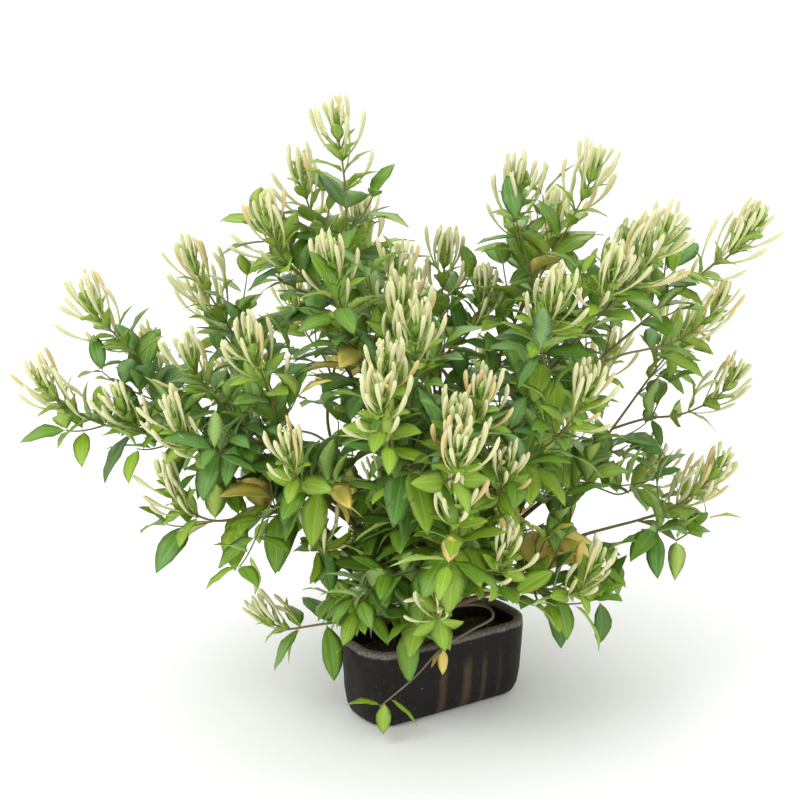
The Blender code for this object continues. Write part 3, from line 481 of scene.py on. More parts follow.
def fork_place(leader, foot, slip):
    """Where a side twig leaves its leader: the last place from which it turns off gently."""
    total = path_length(leader)
    step = 0.004
    chosen = step
    distance = step
    while distance < LONGEST_FORK * total:
        place, way = along(leader, distance)
        if way.angle(foot - place) < math.radians(FORK_ANGLE):
            chosen = distance
        distance += step
    return along(leader, min(LONGEST_FORK * total, max(step, chosen + slip)))


def letter_sum(name):
    """A number for a name, to seed its draws."""
    return sum(ord(letter) for letter in name)


def grow_mass_twigs(name, bough, trunk, limbs, twigs):
    """The twigs of one mass: the longest shoot leads, and the others fork from it."""
    arrive = (bough[-1] - bough[-2]).normalized()
    shoots = []
    leader = None
    for number in sorted(range(len(MASSES[name]) - 1), key=lambda number: -MASSES[name][number + 1][2]):
        foot = shoot_foot(name, number)
        bears = "leaf" if number in LEAF_SHOOTS.get(name, ()) else "bud"
        axis = cluster_axis(foot, bears)
        draw = random.Random(SEED + 1009 * number + letter_sum(name))
        for attempt in range(TWIG_TRIES):
            bend = Vector([draw.uniform(-1.0, 1.0) * 0.0003 * attempt for _ in range(3)])
            if leader is None:
                begin = hub_place(name) + arrive * CLEAR
                leave = arrive
                radius = TWIG_FOOT_RADIUS
            else:
                slip = draw.uniform(-1.0, 1.0) * min(0.02, 0.0006 * attempt)
                begin, lead_way = fork_place(leader, foot, slip)
                leave = (lead_way * 0.6 + (foot - begin).normalized() * 0.6).normalized()
                radius = SIDE_TWIG_RADIUS
            pull = (foot - begin).length * CURVE_PULL
            path = cubic(begin, begin + leave * pull + bend, foot - axis * pull + bend, foot, 16)
            if twig_is_clear(path, radius, name, trunk, limbs, twigs):
                break
        path = resample(path, max(TWIG_STEPS, round(path_length(path) / TWIG_STEP_LENGTH)))
        path.append(foot + axis * TIP_IN_CORE)
        shoot = dict(mass=name, number=number, path=path, radius=radius, axis=axis, foot=foot)
        shoots.append({**shoot, "bears": bears})
        leader = leader or path
        twigs.add(path, (radius, TWIG_TIP_RADIUS), name)
    return shoots


def grow_trail(name, twigs):
    """A shoot that trails from the trunk by its own steps."""
    plan = TRAILS[name]
    knots = [limb_start(*plan["start"], TWIG_FOOT_RADIUS)]
    for heading, rise, length in plan["steps"]:
        knots.append(knots[-1] + heading_vector(heading, rise) * length)
    axis = heading_vector(*plan["tip"])
    path = smooth_path(knots, 4)
    foot = path[-1].copy()
    path.append(foot + axis * TIP_IN_CORE)
    twigs.add(path, (TWIG_FOOT_RADIUS, TWIG_TIP_RADIUS), name)
    shoot = dict(mass=name, number=0, path=path, radius=TWIG_FOOT_RADIUS, axis=axis, foot=foot)
    return {**shoot, "bears": plan["bears"], "leaves": plan["leaves"]}


def grow_limbs():
    """Boughs and shoots of the whole shrub, by the solids' rule."""
    trunk, limbs, twigs = Reach(), Reach(), Reach()
    for (low, low_radius), (high, high_radius) in zip(TRUNK_TAPER, TRUNK_TAPER[1:]):
        centres = [trunk_centre(share) for share in (low, (low + high) / 2, high)]
        trunk.add(centres, (low_radius, high_radius), "trunk")
    shoots = [grow_trail(name, twigs) for name in TRAILS]
    boughs = grow_boughs(trunk, limbs, twigs)
    for name in sorted(MASSES, key=lambda name: -len(MASSES[name])):
        shoots.extend(grow_mass_twigs(name, boughs[name], trunk, limbs, twigs))
    return boughs, shoots


def square_to(way, direction):
    """The part of a way that stands square to a direction."""
    rest = way - direction * way.dot(direction)
    if rest.length < 1e-5:
        rest = side_of(direction)
    return rest.normalized()


def seen_at(point):
    """Where the photograph's camera sees a point, in pixels."""
    down = math.radians(CAMERA_DOWN)
    offset = point - Vector(CAMERA_PLACE)
    depth = offset.y * math.cos(down) - offset.z * math.sin(down)
    height = offset.y * math.sin(down) + offset.z * math.cos(down)
    pixels = PICTURE_SIDE / 2 / math.tan(math.radians(CAMERA_HALF_VIEW))
    return PICTURE_SIDE / 2 + pixels * offset.x / depth, PICTURE_SIDE / 2 - pixels * height / depth


# Gaps of the crown that show the sky from the front: centre and half sizes, in pixels.
SKY_GAPS = (
    (312, 424, 26, 16), (303, 340, 12, 8), (608, 515, 34, 26), (622, 420, 20, 14), (338, 525, 9, 16),
    (628, 352, 20, 24), (614, 385, 10, 12), (676, 414, 17, 20), (706, 326, 12, 14), (575, 428, 20, 8),
    (700, 470, 10, 20), (536, 515, 12, 10), (370, 470, 12, 12), (225, 512, 10, 8), (487, 622, 36, 22),
    (488, 664, 40, 26), (368, 652, 26, 10),
)
# Where the photograph shows yellowing leaves: place and reach, in pixels.
YELLOW_PLACES = (
    (312, 374, 16), (352, 360, 14), (276, 310, 12), (548, 270, 16), (505, 500, 14), (530, 522, 14),
    (540, 548, 14), (572, 548, 14), (448, 548, 14), (258, 495, 14), (345, 500, 14), (310, 335, 12),
)

YELLOW_CHANCE = 0.85


def in_sky(point):
    """True for a point that would close one of the crown's gaps."""
    across, down = seen_at(point)
    for middle, height, half_across, half_down in SKY_GAPS:
        if ((across - middle) / half_across) ** 2 + ((down - height) / half_down) ** 2 < 1.0:
            return True
    return False


def in_box(point, margin):
    """True for a point within the solids' box."""
    low, high = cad_box
    return all(low[axis] - margin < point[axis] < high[axis] + margin for axis in range(3))


class Crowd:
    """Everything already placed, so that no new leaf passes through it."""

    CELL = 0.04

    def __init__(self):
        self.cells = {}

    def keys(self, points):
        """The cells that a form may touch."""
        centre = sum(points, Vector()) / len(points)
        radius = max((point - centre).length for point in points)
        low = [math.floor((value - radius) / self.CELL) for value in centre]
        high = [math.floor((value + radius) / self.CELL) for value in centre]
        return itertools.product(*(range(first, last + 1) for first, last in zip(low, high)))

    def add(self, points, faces, owner):
        entry = (BVHTree.FromPolygons(points, faces), owner)
        for key in self.keys(points):
            self.cells.setdefault(key, []).append(entry)

    def blocks(self, points, faces, owner):
        own = BVHTree.FromPolygons(points, faces)
        tried = set()
        for key in self.keys(points):
            for entry in self.cells.get(key, ()):
                if id(entry) not in tried and entry[1] != owner and own.overlap(entry[0]):
                    return True
                tried.add(id(entry))
        return False


def ring_faces(rings, sides, closed=True):
    """Faces of a stack of rings of points, with a cap at each end where it is closed."""
    faces = []
    for ring in range(rings - 1):
        for side in range(sides):
            after = (side + 1) % sides
            low, high = ring * sides, (ring + 1) * sides
            faces.append((low + side, low + after, high + after, high + side))
    if closed:
        faces.append(tuple(reversed(range(sides))))
        faces.append(tuple((rings - 1) * sides + side for side in range(sides)))
    return faces


def tube_points(path, radii, sides, relief=0.0, seed=0):
    """Points of a stem, ring by ring, with long ridges where there is relief."""
    points = []
    across = side_of((path[1] - path[0]).normalized())
    walked = 0.0
    for index, centre in enumerate(path):
        walked += (centre - path[max(index - 1, 0)]).length
        ahead = (path[min(index + 1, len(path) - 1)] - path[max(index - 1, 0)]).normalized()
        across = square_to(across, ahead)
        up = ahead.cross(across)
        for side in range(sides):
            angle = 2.0 * math.pi * side / sides
            way = across * math.cos(angle) + up * math.sin(angle)
            ridge = 0.0
            if relief:
                sample = Vector((math.cos(angle) * 2.2, math.sin(angle) * 2.2, walked * 45.0 + seed * 7.3))
                ridge = noise.noise(sample) + 0.5 * noise.noise(sample * 2.3)
            points.append(centre + way * radii[index] * (1.0 + relief * ridge))
    return points


def rod_skin(path, radius):
    """A three-sided skin of a limb, to keep leaves off it."""
    return tube_points(path, [radius] * len(path), 3), ring_faces(len(path), 3, False)


def centre_line(leaf, t):
    """Place and upper side of a leaf's rib at a share of its length."""
    lie, face, turn = leaf["lie"], leaf["face"], leaf["curl"] * t
    bow = (lie * math.sin(turn) - face * (1.0 - math.cos(turn))) * (leaf["length"] / leaf["curl"])
    return leaf["root"] + bow, face * math.cos(turn) + lie * math.sin(turn)


# Rows of a blade: where each lies along it, and its half width there as a share of the greatest.
BLADE_PLACES = (0.0, 0.06, 0.15, 0.27, 0.42, 0.58, 0.74, 0.88, 1.0)
LEAF_HALVES = (0.0, 0.08, 0.48, 0.82, 1.0, 0.96, 0.74, 0.38, 0.0)
BRACT_HALVES = (0.0, 0.22, 0.58, 0.86, 1.0, 0.97, 0.78, 0.44, 0.0)


def blade_skin(leaf, start=0.14):
    """A few faces that stand for a leaf's blade."""
    side = leaf["lie"].cross(leaf["face"])
    half = leaf["width"] / 2
    points = [centre_line(leaf, start)[0]]
    for t, share in ((0.36, 0.95), (0.66, 0.76)):
        centre, upper = centre_line(leaf, t)
        lift = upper * half * share * leaf["fold"]
        points.extend((centre - side * half * share + lift, centre, centre + side * half * share + lift))
    points.append(centre_line(leaf, 1.0)[0])
    return points, [(0, 1, 2), (0, 2, 3), (1, 4, 5, 2), (2, 5, 6, 3), (4, 7, 5), (5, 7, 6)]


def new_leaf(root, direction, length, width_share, curl, roll, draw, face=None):
    """A leaf's place and shape, its upper side as near the sky as its direction lets it."""
    face = Matrix.Rotation(roll, 3, direction) @ (square_to(UP, direction) if face is None else face)
    lie = (direction * math.cos(curl * 0.4) + face * math.sin(curl * 0.4)).normalized()
    leaf = dict(root=root, lie=lie, face=square_to(face, lie), length=length, curl=curl)
    leaf["width"] = length * width_share
    return {**leaf, "fold": draw.uniform(0.10, 0.34), "twist": draw.uniform(-0.35, 0.35)}


# How a leaf without room is tried again: shortened to a share of its length and turned.
LEAF_TRIES = ((1.0, 0), (0.95, 16), (0.95, -16), (0.84, 30), (0.84, -30), (0.7, 0), (0.62, 44), (0.62, -44))


class Foliage:
    """The leaves, bracts, buds and fine twigs of the shrub, as they are grown."""

    def __init__(self):
        self.leaves = []
        self.bracts = []
        self.buds = []
        self.twigs = []
        self.crowd = Crowd()

    def try_leaf(self, root, direction, length, width_share, curl, roll, draw, tint, owner):
        """Places a leaf where there is room, turned or shortened a little if need be."""
        for shrink, turned in LEAF_TRIES:
            way = Matrix.Rotation(math.radians(turned), 3, "Z") @ direction
            leaf = new_leaf(root, way, length * shrink, width_share, curl, roll, draw)
            points, faces = blade_skin(leaf)
            if any(in_pot(point, 0.002) or not in_box(point, 0.006) or in_sky(point) for point in points):
                continue
            if not self.crowd.blocks(points, faces, owner):
                self.crowd.add(points, faces, "leaf")
                leaf["tint"] = "gold" if turns_yellow(leaf) and draw.random() < YELLOW_CHANCE else tint
                self.leaves.append(leaf)
                return True
        return False


def spike_path(shoot):
    """A shoot's smooth path, carried on through its bud cluster to the growing tip."""
    path = smooth_path(shoot["path"][:-1], 5)
    axis = shoot["axis"]
    if shoot["bears"] == "bud":
        tip_way = (axis + UP * 0.55).normalized()
        foot = path[-1]
        path.append(foot + axis * SPIKE_RISE * 0.5)
        path.append(path[-1] + tip_way * SPIKE_RISE * 0.5)
    return path


def dress_spike(foliage, shoot, path, total, draw):
    """Bracts and buds in crossed pairs up to the tip of one shoot."""
    outward = min(1.0, max(0.0, ((shoot["foot"] - TRUNK_HEAD).length - 0.20) / 0.16))
    stretch = LONG_SPIKES.get((shoot["mass"], shoot["number"]), draw.uniform(0.78, 0.92) + 0.22 * outward)
    turn = draw.uniform(0.0, 180.0)
    size = draw.uniform(0.80, 0.90) + 0.20 * outward
    last = 0.0
    for index, (below, bract_length, bud_length, chance, lean_out, curve_in) in enumerate(SPIKE):
        below = below * (1.0 + (stretch - 1.0) * min(1.0, below / 0.02))
        if below > total * 0.62:
            break
        last = below
        root, ahead = along(path, total - below)
        grown = min(1.0, index / 6.0)
        for half in (0.0, 180.0):
            angle = math.radians(turn + 90.0 * index + half + draw.uniform(-12.0, 12.0))
            radial = Matrix.Rotation(angle, 3, ahead) @ side_of(ahead)
            open_angle = math.radians(10.0 + 54.0 * grown + draw.uniform(-7.0, 7.0))
            way = (ahead * math.cos(open_angle) + radial * math.sin(open_angle)).normalized()
            bract = new_leaf(
                root + radial * 0.0008,
                way,
                bract_length * size * draw.uniform(0.88, 1.12),
                draw.uniform(0.46, 0.60) - 0.08 * grown,
                0.25 + 0.5 * grown,
                math.radians(draw.uniform(-10.0, 10.0)),
                draw,
                square_to(ahead, way),
            )
            bract["tint"] = "fresh"
            if in_box(centre_line(bract, 1.0)[0], 0.006):
                (foliage.bracts if index < 5 else foliage.leaves).append(bract)
            for which in (-1.0, 1.0):
                if draw.random() > chance * (0.80 + 0.20 * outward):
                    continue
                out = Matrix.Rotation(math.radians(which * draw.uniform(14.0, 38.0)), 3, ahead) @ radial
                lean = math.radians(lean_out * (0.85 + 0.15 * outward) + draw.uniform(-9.0, 9.0))
                way = ahead * math.cos(lean) + out * math.sin(lean) + UP * 0.75 * max(0.0, 0.75 - ahead.z)
                way = way.normalized()
                towards = (ahead * 0.5 + UP * 0.7 + side_of(ahead) * draw.uniform(-0.3, 0.3)).normalized()
                bud = dict(root=root + out * 0.0009, lie=way, face=square_to(towards, way))
                bud["fold"] = bud["twist"] = 0.0
                bud["length"] = bud_length * size * draw.uniform(0.84, 1.10)
                girth = 2.0 * BUD_RADIUS * draw.uniform(0.86, 1.12)
                bud["width"] = girth * (0.66 + 0.34 * min(1.0, index / 4.0))
                bud["curl"] = curl = max(0.12, curve_in + draw.uniform(-0.20, 0.45))
                bud["tint"] = bud_tint(index, draw)
                bow = bud["lie"] * math.sin(curl) + bud["face"] * (1.0 - math.cos(curl))
                tip = bud["root"] + bow * (bud["length"] / curl)
                if in_box(tip, 0.010) and not in_pot(tip, 0.002):
                    foliage.buds.append(bud)
    return last, turn + 90.0 * len(SPIKE)


def bud_tint(index, draw):
    """Colour class of a bud: green near the tip, cream below, a few fading."""
    if index < 2:
        return "green"
    if index == 2:
        return "green" if draw.random() < 0.5 else "cream"
    if index > 3 and draw.random() < 0.12:
        return "fading"
    return "cream"


def leaf_tint(depth, spray, draw):
    """Colour class of a leaf: fresher near the tips, deeper inside, dealt out by spray."""
    value = spray + draw.uniform(-0.28, 0.28) + 0.26 * depth
    if draw.random() < STRAY_GOLD:
        return "gold"
    return next(tint for tint, limit in TINT_LIMITS if value < limit)


def turns_yellow(leaf):
    """True for a leaf whose middle is seen at one of the yellowing places."""
    across, down = seen_at(centre_line(leaf, 0.5)[0])
    return any(math.hypot(across - x, down - y) < reach for x, y, reach in YELLOW_PLACES)


def leaf_pair(foliage, manner, place, ahead, turn, forward, rise, scale, tint_of, draw, owner):
    """Two opposite leaves at one node. Gives how many of them found room."""
    sway, rise_sway, lengths, curls, roll_sway, off = manner
    placed = 0
    for half in (0.0, 180.0):
        angle = math.radians(turn + half + draw.uniform(-sway, sway))
        out = Matrix.Rotation(angle, 3, ahead) @ side_of(ahead)
        direction = (out + ahead * forward + UP * (rise + draw.uniform(-rise_sway, rise_sway))).normalized()
        length = scale * draw.uniform(*lengths)
        width = draw.uniform(*LEAF_WIDTHS)
        curl = draw.uniform(*curls)
        roll = math.radians(draw.uniform(-roll_sway, roll_sway))
        tint = leaf_tint(*tint_of, draw)
        placed += foliage.try_leaf(place + out * off, direction, length, width, curl, roll, draw, tint, owner)
    return placed


def dress_leaves(foliage, path, total, first, turn, draw, owner):
    """Opposite pairs of leaves down one shoot, each pair turned a quarter from the last."""
    spray = draw.random() * 0.8
    at = total - first - NODE_STEP * draw.uniform(0.6, 0.9)
    nodes = []
    while at > 0.010:
        pair = len(nodes)
        node_turn = turn + 90.0 * pair
        place, ahead = along(path, at)
        step = min(pair, len(LEAF_LENGTHS) - 1)
        heights = (LEAF_FORWARD, LEAF_LIFTS[step], LEAF_LENGTHS[step])
        tint_of = (min(1.0, pair / 5.0), spray)
        leaf_pair(foliage, SHOOT_MANNER, place, ahead, node_turn, *heights, tint_of, draw, owner)
        nodes.append((at, node_turn))
        at -= NODE_STEP * draw.uniform(0.85, 1.2)
    return nodes


def leafy_twig(foliage, root, way, length, turn, droop, draw, owner):
    """One short leafy twig, where it clears what is already there."""
    end_way = (way + UP * 0.5).normalized()
    bow = root + (way * 0.65 + end_way * 0.08) * length
    twig = cubic(root, root + way * length * 0.35, bow, root + (way * 0.6 + end_way * 0.4) * length, 6)
    if any(in_pot(point, 0.004) or not in_box(point, -0.004) or in_sky(point) for point in twig):
        return False
    if foliage.crowd.blocks(*rod_skin(twig[1:], TWIG_SKIN), owner):
        return False
    total = path_length(twig)
    placed = 0
    spray = draw.random() * 0.8
    pair = 0
    below = 0.001
    while below < total - 0.007:
        place, ahead = along(twig, total - below)
        forward, scale = (0.42, 1.0) if pair else (0.9, 0.8)
        turned = turn + 90.0 * pair
        tint_of = (0.2 * pair, spray)
        placed += leaf_pair(
            foliage, TWIG_MANNER, place, ahead, turned, forward, -droop, scale, tint_of, draw, owner
        )
        pair += 1
        below += draw.uniform(0.016, 0.023)
    if placed:
        foliage.twigs.append({"path": twig, "radius": 0.0009, "tip": 0.0006, "tint": "green"})
        foliage.crowd.add(*rod_skin(twig, TWIG_SKIN), owner)
    return placed > 0


def dress_side_twigs(foliage, path, nodes, draw, owner):
    """Short leafy twigs from the axils of one limb."""
    for at, turn in nodes:
        if draw.random() > SIDE_TWIG_CHANCE:
            continue
        root, ahead = along(path, at)
        across = side_of(ahead)
        for half in random.Random(draw.random()).sample((0.0, 180.0, 90.0, -90.0), 4):
            radial = Matrix.Rotation(math.radians(turn + half + draw.uniform(-20.0, 20.0)), 3, ahead) @ across
            way = (radial * 0.8 + ahead * 0.7 + UP * 0.25).normalized()
            if leafy_twig(foliage, root, way, draw.uniform(*SIDE_TWIG_LENGTHS), turn, 0.0, draw, owner):
                break


def dress_trunk(foliage, draw):
    """Leafy twigs from the trunk's sides, the low ones in front hanging over the pot's rim."""
    for heading, share, rise, length, droop in RIM_TWIGS:
        for attempt in range(6):
            out = heading_vector(heading + draw.uniform(-5.0, 5.0) * attempt, 0.0)
            root = trunk_centre(share) + out * (trunk_radius(share) - 0.001)
            way = (out + UP * math.tan(math.radians(rise + 4.0 * attempt)) - UP * 0.12).normalized()
            if leafy_twig(foliage, root, way, length, draw.uniform(0.0, 180.0), droop, draw, ("trunk", "")):
                break
    for index in range(TRUNK_TWIGS):
        share = 0.34 + 0.58 * (index + 0.5) / TRUNK_TWIGS
        for attempt in range(5):
            out = heading_vector(137.5 * index + 31.0 * attempt, 0.0)
            root = trunk_centre(share) + out * (trunk_radius(share) - 0.001)
            way = (out + UP * draw.uniform(0.1, 0.6)).normalized()
            length = draw.uniform(0.050, 0.092)
            if leafy_twig(foliage, root, way, length, draw.uniform(0.0, 180.0), 0.3, draw, ("trunk", "")):
                break


def grow_foliage():
    """Everything leafy on the shrub."""
    boughs, shoots = grow_limbs()
    foliage = Foliage()
    boughs = {name: smooth_path(path, 8) for name, path in boughs.items()}
    for name, path in boughs.items():
        foliage.crowd.add(*rod_skin(fine_points(path, 0.012), BOUGH_FOOT_RADIUS), ("bough", name))
    foliage.crowd.add(*rod_skin([trunk_centre(index / 8) for index in range(9)], TRUNK_SKIN), ("trunk", ""))
    plans = []
    for shoot in shoots:
        path = spike_path(shoot)
        total = path_length(path)
        owner = ("shoot", shoot["mass"], shoot["number"])
        twig = {"path": fine_points(path, 0.006), "radius": shoot["radius"], "tip": TWIG_TIP_RADIUS * 0.7}
        foliage.twigs.append({**twig, "tint": "brown" if shoot["mass"] == "trailing_front" else "green"})
        spans = max(1, round(total / 0.03))
        for index in range(spans):
            piece = [along(path, total * (index + part / 3) / spans)[0] for part in range(4)]
            foliage.crowd.add(*rod_skin(piece, SHOOT_SKIN), owner)
        plans.append((shoot, path, total, owner))

    def draw_for(shoot, step):
        return random.Random(SEED + step * shoot["number"] + letter_sum(shoot["mass"]))

    firsts = []
    for shoot, path, total, owner in plans:
        draw = draw_for(shoot, 57)
        if shoot["bears"] == "bud":
            firsts.append(dress_spike(foliage, shoot, path, total, draw))
        else:
            firsts.append((-0.016, draw.uniform(0.0, 180.0)))
    leaf_nodes = []
    for (shoot, path, total, owner), (first, turn) in zip(plans, firsts):
        draw = draw_for(shoot, 31)
        if "leaves" in shoot:
            length_to_foot = path_length(smooth_path(shoot["path"][:-1], 5))
            for back, heading, rise, length, width, tint in shoot["leaves"]:
                root, _ = along(path, length_to_foot - back)
                way = heading_vector(heading, rise)
                foliage.try_leaf(root, way, length, width, 0.5, 0.0, draw, tint, owner)
            leaf_nodes.append([])
        else:
            leaf_nodes.append(dress_leaves(foliage, path, total, first, turn, draw, owner))
    for (shoot, path, total, owner), nodes in zip(plans, leaf_nodes):
        dress_side_twigs(foliage, path, nodes, draw_for(shoot, 83), owner)
    for name, path in boughs.items():
        draw = random.Random(SEED + 11 + letter_sum(name))
        total = path_length(path)
        nodes = []
        at = total * 0.22
        while at < total - 0.004:
            nodes.append((at, draw.uniform(0.0, 360.0)))
            at += draw.uniform(0.012, 0.019)
        dress_side_twigs(foliage, path, nodes, draw, ("bough", name))
    dress_trunk(foliage, random.Random(SEED + 5))
    return boughs, foliage


def step(operation, turned=False):
    """An operator of Flow that lays one step of arithmetic."""

    def lay(own, other):
        return own.shop.reckon(operation, *((other, own) if turned else (own, other)))

    return lay


class Flow:
    """A number or a vector on its way through a node tree, so that a rule reads as a sum."""

    def __init__(self, shop, socket):
        self.shop = shop
        self.socket = socket

    __add__ = step("ADD")
    __sub__ = step("SUBTRACT")
    __rsub__ = step("SUBTRACT", True)
    __mul__ = step("MULTIPLY")
    __truediv__ = step("DIVIDE")


class Shop:
    """A place to lay the nodes of one tree in a maker's words."""

    def __init__(self, tree):
        self.tree = tree

    def plug(self, socket, value):
        if isinstance(value, Flow):
            self.tree.links.new(value.socket, socket)
        elif value is not None:
            socket.default_value = value

    def node(self, kind, inputs=(), out=0, **settings):
        """Lays a node, fills its named inputs and gives the flow from one of its outputs."""
        laid = self.tree.nodes.new(kind)
        for key, value in settings.items():
            setattr(laid, key, value)
        for key, value in dict(inputs).items():
            named = (socket for socket in laid.inputs if socket.name == key and socket.enabled)
            self.plug(laid.inputs[key] if isinstance(key, int) else next(named), value)
        leaving = [socket for socket in laid.outputs if socket.enabled and out in (0, socket.name)]
        return Flow(self, leaving[0])

    def reckon(self, operation, *items):
        """One step of arithmetic on numbers or vectors."""
        vectors = [isinstance(item, Flow) and item.socket.type == "VECTOR" for item in items]
        if not any(vectors):
            return self.node("ShaderNodeMath", dict(enumerate(items)), operation=operation)
        if operation == "MULTIPLY" and not all(vectors):
            return self.node("ShaderNodeVectorMath", {0: items[0], "Scale": items[1]}, operation="SCALE")
        return self.node("ShaderNodeVectorMath", dict(enumerate(items)), operation=operation)

    def parts(self, vector):
        """A vector's three numbers."""
        split = self.tree.nodes.new("ShaderNodeSeparateXYZ")
        self.plug(split.inputs[0], vector)
        return [Flow(self, socket) for socket in split.outputs]

    def vector(self, x, y, z):
        """A vector from three numbers."""
        return self.node("ShaderNodeCombineXYZ", {0: x, 1: y, 2: z})

    def object_place(self):
        return self.node("ShaderNodeTexCoord", out="Object")

    def clouds(self, place, scale, detail=2.0, roughness=0.5):
        """Noise between 0 and 1."""
        inputs = {"Vector": place, "Scale": scale, "Detail": detail, "Roughness": roughness}
        return self.node("ShaderNodeTexNoise", inputs, out="Fac")

    def ramp(self, value, low, high, top=1.0):
        """From 0 at low to top at high."""
        inputs = {"Value": value, "From Min": low, "From Max": high, "To Max": top}
        return self.node("ShaderNodeMapRange", inputs, out="Result")

    def mix(self, factor, first, second):
        """A colour between two colours."""
        ends = [item if isinstance(item, Flow) else (*item, 1.0) for item in (first, second)]
        inputs = {"Factor": factor, 6: ends[0], 7: ends[1]}
        return self.node("ShaderNodeMix", inputs, out="Result", data_type="RGBA")

    def profile(self, value, points):
        """A number read off a drawn curve."""
        laid = self.tree.nodes.new("ShaderNodeFloatCurve")
        curve = laid.mapping.curves[0]
        curve.points[0].location = points[0]
        curve.points[1].location = points[-1]
        for point in points[1:-1]:
            curve.points.new(*point)
        laid.mapping.update()
        self.plug(laid.inputs["Value"], value)
        return Flow(self, laid.outputs[0])


class Plan(Shop):
    """A geometry tree with named sizes."""

    def __init__(self, name, sizes):
        super().__init__(bpy.data.node_groups.new(name, "GeometryNodeTree"))
        face = self.tree.interface
        face.new_socket(name="Geometry", in_out="INPUT", socket_type="NodeSocketGeometry")
        self.keys = {}
        for key, value in sizes.items():
            kind = "NodeSocketInt" if isinstance(value, int) else "NodeSocketFloat"
            self.keys[key] = face.new_socket(name=key, in_out="INPUT", socket_type=kind).identifier
        face.new_socket(name="Geometry", in_out="OUTPUT", socket_type="NodeSocketGeometry")
        self.sizes = sizes
        self.entry = self.tree.nodes.new("NodeGroupInput")
        self.incoming = Flow(self, self.entry.outputs["Geometry"])

    def size(self, name):
        return Flow(self, self.entry.outputs[name])

    def read(self, name, kind="FLOAT"):
        return self.node("GeometryNodeInputNamedAttribute", {"Name": name}, out="Attribute", data_type=kind)

    def store(self, shape, name, value, kind="FLOAT_VECTOR"):
        return self.node(
            "GeometryNodeStoreNamedAttribute",
            {"Geometry": shape, "Name": name, "Value": value},
            data_type=kind,
            domain="POINT",
        )

    def position(self):
        return self.node("GeometryNodeInputPosition")

    def place(self, shape, position):
        return self.node("GeometryNodeSetPosition", {"Geometry": shape, "Position": position})

    def paint(self, shape, material, where=None):
        inputs = {"Geometry": shape, "Material": material, "Selection": where}
        return self.node("GeometryNodeSetMaterial", inputs)

    def join(self, *shapes):
        laid = self.tree.nodes.new("GeometryNodeJoinGeometry")
        for shape in reversed(shapes):
            self.tree.links.new(shape.socket, laid.inputs[0])
        return Flow(self, laid.outputs[0])

    def finish(self, shape):
        smooth = self.node("GeometryNodeSetShadeSmooth", {"Geometry": shape})
        leaving = self.tree.nodes.new("NodeGroupOutput")
        self.tree.links.new(smooth.socket, leaving.inputs["Geometry"])

    def make(self, name, mesh):
        """Runs the tree on a mesh and gives the result as a plain object."""
        holder = show(name, mesh)
        step = holder.modifiers.new("plan", "NODES")
        step.node_group = self.tree
        for key, value in self.sizes.items():
            step[self.keys[key]] = value
        bpy.context.view_layer.update()
        made = bpy.data.meshes.new_from_object(holder.evaluated_get(bpy.context.evaluated_depsgraph_get()))
        holder.modifiers.clear()
        holder.data = made
        made.name = name
        return holder


class Spread(Plan):
    """A plan that lays one form on points, each of which stores how its copy lies, curls and twists."""

    def set_out(self, form):
        form = self.store(form, "place", self.position())
        laid = self.node("GeometryNodeInstanceOnPoints", {"Points": self.incoming, "Instance": form})
        self.laid = self.node("GeometryNodeRealizeInstances", {"Geometry": laid})
        place = self.read("place", "FLOAT_VECTOR")
        self.root = self.position() - place
        self.lie = self.read("lie", "FLOAT_VECTOR")
        self.face = self.read("face", "FLOAT_VECTOR")
        self.side = self.reckon("CROSS_PRODUCT", self.lie, self.face)
        self.half_width = self.read("width") * 0.5
        self.pull = self.read("length") / self.read("curl")
        x, y, z = self.parts(place)
        return x, y, z

    def bent(self, grown):
        """Sine and cosine of how far a copy has curled."""
        turn = self.read("curl") * grown
        return self.reckon("SINE", turn), self.reckon("COSINE", turn)


